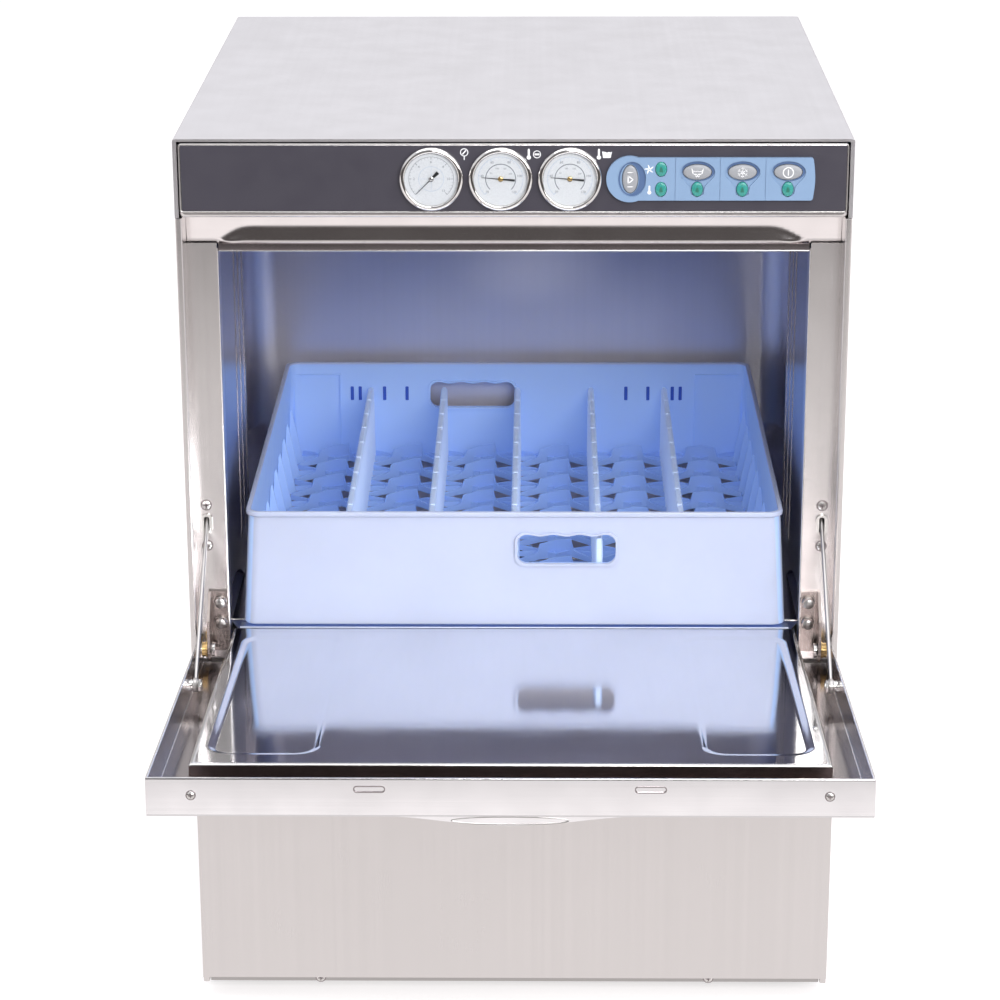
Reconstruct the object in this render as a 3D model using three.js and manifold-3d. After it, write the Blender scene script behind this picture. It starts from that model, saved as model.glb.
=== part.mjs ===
// Commercial undercounter dishwasher with a drop-down door, three gauges, a button module and a glass rack.
// Millimetres, +Z up, the front faces -Y. The origin is the centre of the cabinet's underside.
// The door is modelled open, tilted a little above horizontal so that it drains into the tank.
import * as THREE from "three";
import { mergeVertices } from "three/addons/utils/BufferGeometryUtils.js";
import Module from "manifold-3d";

const wasm = await Module();
wasm.setup();

// ---------- driving dimensions ----------
const WIDTH = 600;
const DEPTH = 620;
const HEIGHT = 828;
const SHEET = 1.5;
const GAP = 0.3;
const SIDE = WIDTH / 2;
const FRONT = -DEPTH / 2;
const BACK = DEPTH / 2;

const HOOD_BOTTOM = 757; // lower edge of the hood and of the control fascia
const FRAME_Y = FRONT + 30; // face of the door frame, set back behind the door
const STRIP = 6; // width of the side panels' front edges
const OPENING = { half: 265.5, top: 726, bottom: 322, depth: 18 };

const HINGE = { y: FRONT + 14, z: 341.2 };
const DOOR = { half: 293.2, length: 412.8, tail: 12, skin: 17.5, lip: 15.5, tilt: 5.03 };
const PAN = { half: 262, front: 376, tail: 10, top: 18, floor: 15.6 };
const ROD_X = 284.45; // distance of the tie rods from the middle
const ROD_GUIDE = { y: FRAME_Y, z: 459.5 };
const ROD = { length: 215, width: 8, thick: 3.2, pivotRise: 2 };

const CHAMBER = { half: 290, rear: 250, floor: 270, ceiling: 745, cove: 34 };
const SHOULDER = { top: 391, bottom: 345, half: 258 };
const POCKET = { half: OPENING.half, front: 391, rear: 354, depth: 214 };
const SUMP = { half: 110, front: -120, rear: 80, floor: 205 };
const SPRAY = { y: -20, wash: 220, rinse: 190 };
const RACK = { y: -21.5, half: 254, bottom: 358, height: 110, wall: 3, rim: 8, columns: 6, pitch: 79.2 };

const DIALS = { z: 792.8, x: [-72.2, -11, 50], bezel: 28.5, glass: 23.6 };
const MODULE = { z: 793, left: 102.6, round: 20.6, half: 19.1, right: 263.5 };
const BUTTON = { long: 12.5, short: 6.85, z: 799.3, x: [162, 201.6, 241.7] };
const LENS = { wide: 5, tall: 6.5, low: 784, high: 802, x: 130.1 };
const FEET = { x: 250, y: 245, drop: 15 };

// ---------- solids ----------
const X = new THREE.Vector3(1, 0, 0);
const Y = new THREE.Vector3(0, 1, 0);
const Z = new THREE.Vector3(0, 0, 1);

// A closed geometry as a manifold solid, whichever way its faces were wound.
function solidOf(geometry) {
  const bare = geometry.clone();
  bare.deleteAttribute("normal");
  bare.deleteAttribute("uv");
  const merged = mergeVertices(bare, 1e-4);
  const faces = [];
  for (let i = 0; i < merged.index.count; i += 3) {
    const [a, b, c] = [0, 1, 2].map((k) => merged.index.getX(i + k));
    if (a !== b && b !== c && c !== a) faces.push([a, b, c]);
  }
  const build = (triangles) => {
    const vertProperties = new Float32Array(merged.attributes.position.array);
    const triVerts = new Uint32Array(triangles.flat());
    return new wasm.Manifold(new wasm.Mesh({ numProp: 3, vertProperties, triVerts }));
  };
  const solid = build(faces);
  return solid.volume() > 0 ? solid : build(faces.map(([a, b, c]) => [a, c, b]));
}

function geometryOf(solid) {
  const mesh = solid.getMesh();
  const points = new Float32Array(mesh.numVert * 3);
  for (let i = 0; i < mesh.numVert; i++) {
    points.set(mesh.vertProperties.subarray(i * mesh.numProp, i * mesh.numProp + 3), i * 3);
  }
  const indexed = new THREE.BufferGeometry();
  indexed.setAttribute("position", new THREE.BufferAttribute(points, 3));
  indexed.setIndex(new THREE.BufferAttribute(mesh.triVerts, 1));
  const geometry = indexed.toNonIndexed();
  geometry.computeVertexNormals();
  return geometry;
}

function union(solids) {
  return solids.reduce((sum, solid) => sum.add(solid));
}

function cut(solid, tools) {
  return tools.reduce((rest, tool) => rest.subtract(tool), solid);
}

// A box given by its extents along x, y and z.
function block([x0, x1], [y0, y1], [z0, z1]) {
  const geometry = new THREE.BoxGeometry(x1 - x0, y1 - y0, z1 - z0);
  geometry.translate((x0 + x1) / 2, (y0 + y1) / 2, (z0 + z1) / 2);
  return solidOf(geometry);
}

// A shape drawn in the plane across an axis, extruded along it from one place to another.
// Across z the shape is drawn in x and y, across y in x and z, and across x in y and z.
function prism(shape, axis, from, to, curveSegments = 6) {
  const options = { depth: to - from, bevelEnabled: false, curveSegments };
  const geometry = new THREE.ExtrudeGeometry(shape, options);
  if (axis === "z") geometry.translate(0, 0, from);
  if (axis === "y") {
    geometry.rotateX(Math.PI / 2);
    geometry.translate(0, to, 0);
  }
  if (axis === "x") {
    geometry.applyMatrix4(new THREE.Matrix4().makeBasis(Y, Z, X));
    geometry.translate(from, 0, 0);
  }
  return solidOf(geometry);
}

// A round bar along an axis from one place to another, its centre line given by the other two coordinates.
function bar(radius, axis, [u, v], from, to, sides = 14) {
  return prism(ellipse(u, v, radius, radius), axis, from, to, sides / 2);
}

// A body of revolution about a vertical line through the origin: pairs of radius and height.
function turned(profile, sides = 14) {
  const points = profile.map(([radius, height]) => new THREE.Vector2(radius, height));
  return solidOf(new THREE.LatheGeometry(points, sides).rotateX(Math.PI / 2));
}

// A round rod swept along a curve.
function swept(curve, radius, steps, sides = 6) {
  const shape = ellipse(0, 0, radius, radius);
  const options = { steps, extrudePath: curve, curveSegments: sides / 2 };
  return solidOf(new THREE.ExtrudeGeometry(shape, options));
}

// ---------- outlines ----------
function polygon(points) {
  return new THREE.Shape(points.map(([u, v]) => new THREE.Vector2(u, v)));
}

function ellipse(u, v, a, b) {
  const shape = new THREE.Shape();
  shape.absellipse(u, v, a, b, 0, 2 * Math.PI, false, 0);
  return shape;
}

function roundedRect(u0, u1, v0, v1, r) {
  const shape = new THREE.Shape();
  shape.absarc(u1 - r, v0 + r, r, -Math.PI / 2, 0, false);
  shape.absarc(u1 - r, v1 - r, r, 0, Math.PI / 2, false);
  shape.absarc(u0 + r, v1 - r, r, Math.PI / 2, Math.PI, false);
  shape.absarc(u0 + r, v0 + r, r, Math.PI, 1.5 * Math.PI, false);
  shape.closePath();
  return shape;
}

// Section of a sheet folded along its centre line, with each bend rounded.
function folded(points, bend = 1.6, thickness = SHEET, steps = 3) {
  const path = points.map(([u, v]) => new THREE.Vector2(u, v));
  const line = [path[0]];
  for (let i = 1; i < path.length - 1; i++) {
    const before = path[i - 1].clone().sub(path[i]).normalize();
    const after = path[i + 1].clone().sub(path[i]).normalize();
    const reach = bend / Math.tan(before.angleTo(after) / 2);
    const start = path[i].clone().addScaledVector(before, reach);
    const end = path[i].clone().addScaledVector(after, reach);
    line.push(...new THREE.QuadraticBezierCurve(start, path[i], end).getPoints(steps));
  }
  line.push(path.at(-1));
  const side = (sign) =>
    line.map((point, i) => {
      const ahead = line[Math.min(i + 1, line.length - 1)];
      const behind = line[Math.max(i - 1, 0)];
      const along = ahead.clone().sub(behind).normalize();
      const across = new THREE.Vector2(-along.y, along.x);
      return point.clone().addScaledVector(across, (sign * thickness) / 2);
    });
  return new THREE.Shape([...side(1), ...side(-1).reverse()]);
}

// ---------- materials ----------
function finish(color, roughness, metalness) {
  return new THREE.MeshStandardMaterial({ color, roughness, metalness });
}

const brushedSteel = () => finish(0xd7d2d2, 0.35, 1);
const polishedSteel = () => finish(0xc9d2e0, 0.12, 1);
const fasteners = () => finish(0xb9b4ae, 0.3, 1);
const rackPlastic = () => finish(0xaac4f2, 0.5, 0);
const blackPlastic = () => finish(0x26262a, 0.55, 0);
const greyPlastic = () => finish(0xa5a5a8, 0.45, 0);

function place(parent, name, material, solid) {
  const mesh = new THREE.Mesh(geometryOf(solid), material);
  mesh.name = name;
  parent.add(mesh);
  return mesh;
}

// Builds a left and a right copy of a piece made for the right-hand side.
function bothSides(parent, name, material, solid) {
  place(parent, name + "_left", material(), solid.mirror([1, 0, 0]));
  place(parent, name + "_right", material(), solid);
}

// ---------- cabinet ----------
function basePan() {
  const half = SIDE - STRIP - 0.6;
  const front = FRONT + 6;
  const rear = BACK - 3.8;
  const outer = block([-half, half], [front, rear], [0, 22]);
  const hollow = block([SHEET - half, half - SHEET], [front + SHEET, rear - SHEET], [SHEET, 30]);
  const corners = [-FEET.x, FEET.x].flatMap((x) => [-FEET.y, FEET.y].map((y) => [x, y]));
  const bosses = corners.map((corner) => bar(13, "z", corner, 0, 20, 12));
  const holes = corners.map((corner) => bar(5.6, "z", corner, -1, 24, 10));
  const bead = cut(block([-111, 111], [-81, 81], [-1, 0.5]), [block([-110, 110], [-80, 80], [-2, 2])]);
  return cut(union([cut(outer, [hollow]), ...bosses]), [...holes, bead]);
}

function foot() {
  const top = 25;
  return turned(
    [
      [0, -FEET.drop],
      [19, -FEET.drop],
      [20, 4 - FEET.drop],
      [9, 8 - FEET.drop],
      [9, -1.5],
      [5, -1.5],
      [5, top],
      [0, top],
    ],
    10,
  );
}

function sidePanel() {
  const mid = SHEET / 2;
  const rear = BACK - 1.8 - mid;
  const section = folded(
    [
      [SIDE - STRIP + mid, FRAME_Y - 0.4],
      [SIDE - STRIP + mid, FRONT + mid],
      [SIDE - mid, FRONT + mid],
      [SIDE - mid, rear],
      [SIDE - 16, rear],
    ],
    1.2,
  );
  return prism(section, "z", 2, HOOD_BOTTOM - 0.6);
}

function backPanel() {
  const sheet = block([-SIDE + 0.5, SIDE - 0.5], [BACK - SHEET, BACK], [2, HOOD_BOTTOM - 0.6]);
  const vents = [];
  for (let row = 0; row < 6; row++) {
    const z = 300 + row * 16;
    vents.push(block([-60, 60], [BACK - 3, BACK + 1], [z - 2.5, z + 2.5]));
  }
  const inlet = bar(INLET.hole, "y", [INLET.x, INLET.z], BACK - 3, BACK + 1);
  const cable = bar(CABLE.hole, "y", [CABLE.x, CABLE.z], BACK - 3, BACK + 1);
  const drain = bar(DRAIN.hole, "y", [DRAIN.x, DRAIN.z], BACK - 3, BACK + 1);
  return cut(sheet, [...vents, inlet, cable, drain]);
}

function topCover() {
  const mid = SHEET / 2;
  const section = folded(
    [
      [-SIDE + mid, HOOD_BOTTOM],
      [-SIDE + mid, HEIGHT - mid],
      [SIDE - mid, HEIGHT - mid],
      [SIDE - mid, HOOD_BOTTOM],
    ],
    1.8,
  );
  const shell = prism(section, "y", FRONT, BACK);
  const lip = block([3 - SIDE, SIDE - 3], [FRONT, FRONT + SHEET], [HEIGHT - 2.4, HEIGHT - 1]);
  const rear = block([1 - SIDE, SIDE - 1], [BACK - SHEET, BACK], [HOOD_BOTTOM, HEIGHT - 1]);
  const edge = block([SIDE - 3.6, SIDE - 1], [FRONT, FRONT + SHEET], [HOOD_BOTTOM, HEIGHT - 1]);
  return union([shell, lip, rear, edge, edge.mirror([1, 0, 0])]);
}

// Plate that carries the posts and the header round the door opening, with rolled inner edges.
function frontFrame() {
  const { half, top, bottom, depth } = OPENING;
  const plate = block([2 - SIDE, SIDE - 2], [FRAME_Y, FRAME_Y + SHEET], [24, HOOD_BOTTOM - 0.2]);
  const window = block([-half, half], [FRAME_Y - 1, FRAME_Y + 3], [bottom, top]);
  const edge = block([half, half + SHEET], [FRAME_Y + 0.5, FRAME_Y + depth - 0.4], [bottom - 1, top + 1]);
  const sill = block([-half - 1, half + 1], [FRAME_Y + 0.5, FRAME_Y + depth], [bottom - SHEET, bottom]);
  const header = folded(
    [
      [FRAME_Y + SHEET / 2, top + 5],
      [FRAME_Y + SHEET / 2, top],
      [FRAME_Y + 10, top - 5.25],
      [FRAME_Y + depth, top - 5.25],
    ],
    2.5,
  );
  const lintel = prism(header, "x", -half - 0.6, half + 0.6);
  const slot = roundedRect(ROD_X - 4.2, ROD_X + 4.2, ROD_GUIDE.z - 8.6, ROD_GUIDE.z + 8.6, 4.1);
  const hole = prism(slot, "y", FRAME_Y - 1, FRAME_Y + 3, 2);
  const body = union([cut(plate, [window]), edge, edge.mirror([1, 0, 0]), sill, lintel]);
  return cut(body, [hole, hole.mirror([1, 0, 0])]);
}

function lowerFrontPanel() {
  const top = 318.5;
  const bottom = 7.6;
  const sheet = FRONT - 1.8;
  const mid = SHEET / 2;
  const face = block([-SIDE, SIDE], [sheet, sheet + SHEET], [bottom, top]);
  const section = folded([
    [FRONT + 12, top - mid],
    [sheet + mid, top - mid],
    [sheet + mid, bottom + mid],
    [FRONT + 5.4, bottom + mid],
  ]);
  const turnedEdges = prism(section, "x", STRIP + 0.6 - SIDE, SIDE - STRIP - 0.6);
  return union([face, turnedEdges]);
}

// ---------- wash chamber ----------
// Plan of the chamber: square at the front, coved at the two rear corners.
function chamberPlan(grow, front) {
  const half = CHAMBER.half + grow;
  const rear = CHAMBER.rear + grow;
  const r = CHAMBER.cove + grow;
  const shape = new THREE.Shape();
  shape.moveTo(-half, front);
  shape.lineTo(half, front);
  shape.absarc(half - r, rear - r, r, 0, Math.PI / 2, false);
  shape.absarc(r - half, rear - r, r, Math.PI / 2, Math.PI, false);
  shape.closePath();
  return shape;
}

// Front view of the chamber: wide above, narrowing at sloped shoulders to the tank.
function chamberSection(grow) {
  const wide = CHAMBER.half + grow;
  const narrow = SHOULDER.half + grow;
  const right = [
    [narrow, CHAMBER.floor - grow],
    [narrow, SHOULDER.bottom - grow / 2],
    [wide, SHOULDER.top - grow / 2],
    [wide, CHAMBER.ceiling + grow],
  ];
  return polygon([...right, ...right.map(([x, z]) => [-x, z]).reverse()]);
}

function chamberSolid(grow, front) {
  const low = CHAMBER.floor - grow;
  const high = CHAMBER.ceiling + grow;
  const plan = prism(chamberPlan(grow, front), "z", low, high, 4);
  const section = prism(chamberSection(grow), "y", front, CHAMBER.rear + grow);
  const sumpX = [-SUMP.half - grow, SUMP.half + grow];
  const sumpY = [SUMP.front - grow, SUMP.rear + grow];
  const sump = block(sumpX, sumpY, [SUMP.floor - grow, CHAMBER.floor + 1]);
  return plan.intersect(section).add(sump);
}

// Side view of the pocket that keeps the tie rod and its spring dry.
function pocketOutline(front, inset) {
  const rear = FRAME_Y + POCKET.depth - inset;
  const shape = new THREE.Shape();
  shape.moveTo(front, POCKET.front + inset);
  shape.lineTo(FRAME_Y + 26, POCKET.front + inset);
  shape.quadraticCurveTo(FRAME_Y + 90, POCKET.front + inset, FRAME_Y + 150, POCKET.rear + inset);
  shape.lineTo(rear, POCKET.rear + inset);
  shape.lineTo(rear, CHAMBER.ceiling + 1);
  shape.lineTo(front, CHAMBER.ceiling + 1);
  shape.closePath();
  return shape;
}

function washChamber() {
  const front = FRAME_Y + OPENING.depth + GAP;
  const shell = chamberSolid(SHEET, front);
  const width = [-CHAMBER.half, CHAMBER.half];
  const tankFront = block(width, [front - 6, front + SHEET], [SUMP.floor - 5, OPENING.bottom - 2]);
  const inside = chamberSolid(0, front - 5).subtract(tankFront);
  const pocket = prism(pocketOutline(front, 0), "x", POCKET.half, CHAMBER.half + 1, 4);
  const hollow = prism(pocketOutline(front - 5, SHEET), "x", POCKET.half + SHEET, SIDE, 4);
  const railTop = RACK.bottom - 0.4;
  const rail = block([236, 266.5], [FRAME_Y + 20, CHAMBER.rear - 6], [railTop - 2, railTop]);
  const flat = CHAMBER.half - CHAMBER.cove;
  const ledge = block([-flat, flat], [CHAMBER.rear - 3, CHAMBER.rear + 0.5], [396, 400]);
  const fitted = [pocket, rail].flatMap((piece) => [piece, piece.mirror([1, 0, 0])]);
  const holes = [
    hollow,
    hollow.mirror([1, 0, 0]),
    bar(13, "z", [0, SPRAY.y], SUMP.floor - 4, SUMP.floor + 4),
    bar(13, "z", [0, SPRAY.y], CHAMBER.ceiling - 4, CHAMBER.ceiling + 4),
    bar(STANDPIPE.seat + 0.6, "z", [STANDPIPE.x, STANDPIPE.y], CHAMBER.floor - 4, CHAMBER.floor + 4),
    bar(HEATER.radius + 0.6, "y", [HEATER.x, HEATER.z], SUMP.rear - 4, SUMP.rear + 4, 12),
    bar(HEATER.radius + 0.6, "y", [-HEATER.x, HEATER.z], SUMP.rear - 4, SUMP.rear + 4, 12),
  ];
  return cut(union([cut(shell, [inside]), ...fitted, ledge]), holes);
}

// Strainer plate over the sump, with slots between its bars.
function sumpFilter() {
  const z = CHAMBER.floor + 0.4;
  const rim = 8;
  const shape = roundedRect(-SUMP.half - rim, SUMP.half + rim, SUMP.front - rim, SUMP.rear + rim, 6);
  const slots = [];
  for (let i = 0; i < 8; i++) {
    const y = SUMP.front + 16 + i * 24;
    for (const x of [-66, 66]) {
      slots.push(block([x - 36, x + 36], [y - 5, y + 5], [z - 1, z + 3]));
    }
  }
  const centre = bar(21, "z", [0, SPRAY.y], z - 1, z + 3);
  return cut(prism(shape, "z", z, z + 1.6, 3), [...slots, centre]);
}

const STANDPIPE = { x: 200, y: 170, seat: 14, top: 326 };

function overflowStandpipe() {
  const floor = CHAMBER.floor;
  const tube = turned(
    [
      [9, floor - 8],
      [STANDPIPE.seat, floor - 8],
      [STANDPIPE.seat, floor + GAP],
      [18, floor + GAP],
      [18, floor + 4],
      [12, floor + 6],
      [12, STANDPIPE.top],
      [9, STANDPIPE.top],
      [9, floor - 8],
    ],
    14,
  );
  return tube.translate([STANDPIPE.x, STANDPIPE.y, 0]);
}

const HEATER = { x: 44, z: 232, radius: 4.2 };

function tankHeater() {
  const rear = SUMP.rear + 16;
  const { x, z, radius } = HEATER;
  const points = [
    [-x, rear],
    [-x, SUMP.rear - 30],
    [-x, SUMP.front + 60],
    [-x * 0.6, SUMP.front + 24],
    [x * 0.6, SUMP.front + 24],
    [x, SUMP.front + 60],
    [x, SUMP.rear - 30],
    [x, rear],
  ];
  const curve = new THREE.CatmullRomCurve3(points.map(([u, v]) => new THREE.Vector3(u, v, z)));
  const element = swept(curve, radius, 22);
  const head = block([-x - 12, x + 12], [SUMP.rear + SHEET + 4, rear + 8], [z - 12, z + 12]);
  return union([element, head]);
}

// ---------- spray arms ----------
// A flat hollow-looking arm with rounded ends, a hub and a row of nozzles, turning about its own z axis.
function sprayArm(reach, width, low, high, bore, up) {
  const r = width / 2;
  const arm = prism(roundedRect(-reach, reach, -r, r, r - 0.1), "z", low, high, 3);
  const hub = bar(bore + 9, "z", [0, 0], low - 2, high + 2, 16);
  const face = up ? high : low;
  const nozzles = [];
  for (let i = 1; i <= 3; i++) {
    const x = (reach - r) * (i / 3);
    for (const along of [x, -x]) {
      nozzles.push(bar(r * 0.45, "z", [along, 0], face - 2.5, face + 2.5, 6));
    }
  }
  const hole = bar(bore, "z", [0, 0], low - 5, high + 5, 16);
  return cut(union([arm, hub, ...nozzles]), [hole]);
}

function lowerSprayPost() {
  const floor = SUMP.floor;
  return turned(
    [
      [0, floor - 15],
      [12.4, floor - 15],
      [12.4, floor + GAP],
      [19, floor + GAP],
      [19, floor + 4],
      [14, 250],
      [14, 309],
      [12.4, 309],
      [12.4, 329.4],
      [8.4, 329.4],
      [8.4, 344.6],
      [13, 344.6],
      [11, 352],
      [0, 352],
    ],
    16,
  );
}

// Post under the ceiling, fed by a riser pipe that runs over and down behind the chamber.
function upperSprayPipe() {
  const top = CHAMBER.ceiling;
  const pipeZ = top + 16;
  const post = turned(
    [
      [0, 697],
      [11, 697],
      [13, 704],
      [8.4, 704],
      [8.4, 719],
      [12.2, 719],
      [12.2, 737.6],
      [17, 737.6],
      [17, top - GAP],
      [12.2, top - GAP],
      [12.2, pipeZ],
      [0, pipeZ],
    ],
    16,
  ).translate([0, SPRAY.y, 0]);
  const behind = CHAMBER.rear + 28;
  const over = bar(9, "y", [0, pipeZ], SPRAY.y, behind, 12);
  const down = bar(9, "z", [0, behind], 150, pipeZ, 12);
  const elbow = bar(11, "z", [0, behind], pipeZ - 14, pipeZ + 11, 12);
  return union([post, over, down, elbow]);
}

// ---------- machine compartment ----------
const INLET = { x: -240, z: 90, hole: 12.6 };
const CABLE = { x: -140, z: 60, hole: 8.6 };
const DRAIN = { x: 210, z: 60, hole: 15.6 };

function boiler() {
  const z = 108;
  const y = 195;
  const tank = bar(58, "x", [y, z], -190, 150, 16);
  const caps = [bar(44, "x", [y, z], -198, -190, 16), bar(44, "x", [y, z], 150, 158, 16)];
  const heads = bar(24, "x", [y, z], 158, 178, 12);
  const spigots = [-150, 110].map((x) => bar(8, "z", [x, y], z + 50, z + 76, 12));
  const feet = [-140, 100].map((x) => block([x - 12, x + 12], [y - 40, y + 40], [SHEET + GAP, z - 54]));
  const water = bar(56, "x", [y, z], -188, 148, 16);
  const bores = [-150, 110].map((x) => bar(5.5, "z", [x, y], z + 40, z + 80, 8));
  return cut(union([tank, ...caps, heads, ...spigots, ...feet]), [water, ...bores]);
}

function washPump() {
  const z = 92;
  const x = 60;
  const motor = bar(48, "y", [x, z], -150, 20, 18);
  const volute = bar(66, "y", [x, z], -206, -150, 20);
  const suction = bar(22, "y", [x, z], -232, -206);
  const outlet = bar(17, "z", [x - 44, -178], z, z + 88);
  const bed = block([x - 42, x + 42], [-140, 10], [SHEET + GAP, z - 40]);
  const capacitor = bar(17, "y", [x + 38, z + 46], -120, -40, 14);
  return union([motor, volute, suction, outlet, bed, capacitor]);
}

// Pump with its outlet hose tail, which passes through the back panel.
function drainPump() {
  const x = DRAIN.x;
  const z = DRAIN.z;
  const motor = bar(30, "y", [x, z], 120, 190);
  const volute = bar(40, "y", [x, z], 190, 222);
  const tail = bar(15, "y", [x, z], 222, BACK + 24);
  const barb = bar(16.6, "y", [x, z], BACK + 14, BACK + 18);
  const inlet = bar(14, "z", [x, 206], z, z + 60);
  const bed = block([x - 22, x + 22], [126, 184], [SHEET + GAP, z - 20]);
  return union([motor, volute, tail, barb, inlet, bed]);
}

function dosingPump() {
  const x = -225;
  const body = block([x - 30, x + 30], [-220, -160], [SHEET + GAP, 92]);
  const head = bar(24, "y", [x, 60], -238, -220);
  const rotor = bar(6, "y", [x, 60], -243, -238, 12);
  const ports = [-14, 14].map((dx) => bar(4, "z", [x + dx, -229], 60, 96, 10));
  return union([body, head, rotor, ...ports]);
}

function inletValve() {
  const { x, z } = INLET;
  const spigot = bar(12, "y", [x, z], BACK - 40, BACK + 18);
  const collar = bar(17, "y", [x, z], BACK - 22, BACK - 2, 6);
  const coil = block([x - 18, x + 18], [BACK - 76, BACK - 40], [z - 16, z + 34]);
  const outlet = bar(7, "y", [x, z], BACK - 92, BACK - 76, 12);
  return union([spigot, collar, coil, outlet]);
}

function powerCable() {
  const { x, z } = CABLE;
  const points = [
    [BACK - 34, z],
    [BACK + 8, z],
    [BACK + 22, z - 6],
    [BACK + 26, z - 24],
    [BACK + 26, z - 46],
  ].map(([y, height]) => new THREE.Vector3(x, y, height));
  const lead = swept(new THREE.CatmullRomCurve3(points), 5, 10, 8);
  const gland = bar(8, "y", [x, z], BACK - 14, BACK + 8);
  const nut = bar(13, "y", [x, z], BACK + GAP, BACK + 6, 6);
  return union([lead, gland, nut]);
}

// ---------- control fascia ----------
function moduleOutline(grow) {
  const { z, left, round, half, right } = MODULE;
  const r = round + grow;
  const h = half + grow;
  const meet = Math.asin(h / r);
  const shape = new THREE.Shape();
  shape.absarc(left, z, r, meet, 2 * Math.PI - meet, false);
  shape.lineTo(right - 2, z - h);
  shape.quadraticCurveTo(right + 0.4, z - h, right + 0.6, z - h + 2.4);
  shape.quadraticCurveTo(right + 2.8, z, right + 0.6, z + h - 2.4);
  shape.quadraticCurveTo(right + 0.4, z + h, right - 2, z + h);
  shape.closePath();
  return shape;
}

const MODULE_BODY = { x0: 90, x1: 259, z0: 776.5, z1: 809.5, depth: 14 };

function fasciaHoles(from, to) {
  const { x0, x1, z0, z1 } = MODULE_BODY;
  const dials = DIALS.x.map((x) => bar(27, "y", [x, DIALS.z], from, to, 16));
  const module = prism(roundedRect(x0 - 0.6, x1 + 0.6, z0 - 0.6, z1 + 0.6, 3), "y", from, to, 3);
  return [...dials, module];
}

function controlFascia() {
  const mid = SHEET / 2;
  const top = HEIGHT - 3.6 - mid;
  const section = folded(
    [
      [FRONT + 24, top],
      [FRONT + mid, top],
      [FRONT + mid, HOOD_BOTTOM + 0.45 + mid],
      [FRAME_Y - 0.6, HOOD_BOTTOM + 0.45 + mid],
    ],
    3,
    SHEET,
    4,
  );
  return cut(prism(section, "x", 4.7 - SIDE, SIDE - 4.7), fasciaHoles(FRONT - 2, FRONT + 4));
}

function fasciaOverlay() {
  const half = SIDE - 6.6;
  const film = block([-half, half], [FRONT - 0.9, FRONT - GAP], [763.6, HEIGHT - 5.4]);
  return cut(film, fasciaHoles(FRONT - 2, FRONT + 1));
}

function lensPlaces() {
  const row = [LENS.x, ...BUTTON.x].map((x) => [x, LENS.low]);
  return [...row, [LENS.x, LENS.high]];
}

function controlModule() {
  const { x0, x1, z0, z1, depth } = MODULE_BODY;
  const face = prism(moduleOutline(0), "y", FRONT - 4.6, FRONT - 1.2, 6);
  const body = prism(roundedRect(x0, x1, z0, z1, 3), "y", FRONT - 2, FRONT + depth, 3);
  const hollow = block([x0 + 2, x1 - 2], [FRONT - 2.4, FRONT + depth + 1], [z0 + 2, z1 - 2]);
  const through = [FRONT - 8, FRONT + 4];
  const start = prism(ellipse(103, MODULE.z, BUTTON.short + 0.5, BUTTON.long + 0.5), "y", ...through, 7);
  const well = prism(ellipse(103, MODULE.z, 13, 16), "y", FRONT - 8, FRONT - 3.6, 7);
  const keys = BUTTON.x.flatMap((x) => [
    prism(ellipse(x, BUTTON.z, BUTTON.long + 0.5, BUTTON.short + 0.5), "y", ...through, 7),
    prism(ellipse(x, BUTTON.z - 1, 15.5, 10.5), "y", FRONT - 8, FRONT - 3.6, 7),
  ]);
  const windows = lensPlaces().map(([x, z]) =>
    prism(ellipse(x, z, LENS.wide + 0.4, LENS.tall + 0.4), "y", ...through, 5),
  );
  return cut(union([face, body]), [hollow, start, well, ...keys, ...windows]);
}

function startButton() {
  return prism(ellipse(103, MODULE.z, BUTTON.short, BUTTON.long), "y", FRONT - 4.9, FRONT + 8, 8);
}

function keyButton(x) {
  return prism(ellipse(x, BUTTON.z, BUTTON.long, BUTTON.short), "y", FRONT - 4.9, FRONT + 8, 8);
}

// One moulded light guide whose five lenses come through the module's windows.
function indicatorLenses() {
  const lenses = lensPlaces().map(([x, z]) =>
    prism(ellipse(x, z, LENS.wide, LENS.tall), "y", FRONT - 5, FRONT + 1, 5),
  );
  const strip = block([LENS.x - 4, BUTTON.x[2] + 4], [FRONT + 0.5, FRONT + 2.5], [780, 788.6]);
  const branch = block([LENS.x - 4, LENS.x + 4], [FRONT + 0.5, FRONT + 2.5], [780, 806]);
  return union([...lenses, strip, branch]);
}

function controlBoard() {
  const board = block([96, 256], [FRONT + 17, FRONT + 18.6], [768, 816]);
  const relays = [0, 1, 2, 3].map((i) => {
    const x = 112 + i * 34;
    return block([x, x + 20], [FRONT + 18, FRONT + 34], [774, 796]);
  });
  const terminals = block([104, 248], [FRONT + 18, FRONT + 30], [802, 812]);
  return union([board, ...relays, terminals]);
}

// ---------- gauges: each is modelled about its own centre, facing -Y ----------
function gaugeCase() {
  const dial = 2.4;
  const front = 6;
  return turned(
    [
      [0, dial],
      [DIALS.glass, dial],
      [DIALS.glass, front - 0.6],
      [DIALS.glass + 1.6, front],
      [DIALS.bezel - 1.2, front],
      [DIALS.bezel, front - 1.4],
      [DIALS.bezel, 1.2],
      [26.2, 1.2],
      [26.2, -22],
      [6, -22],
      [6, -34],
      [0, -34],
    ],
    18,
  ).rotate([90, 0, 0]);
}

function gaugeLens() {
  return bar(DIALS.glass - 0.4, "y", [0, 0], -5.2, -4.2, 20);
}

// A pointer drawn to the right of its hub, with a counterweight on the other side.
function gaugeNeedle(pointer, tail, tailWidth) {
  const blade = polygon([
    [-tail, -tailWidth / 2],
    [-3, -0.9],
    [pointer, -0.35],
    [pointer, 0.35],
    [-3, 0.9],
    [-tail, tailWidth / 2],
  ]);
  const hub = bar(2.6, "y", [0, 0], -3.7, -2.7, 10);
  return union([prism(blade, "y", -3.4, -2.9), hub]);
}

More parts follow.
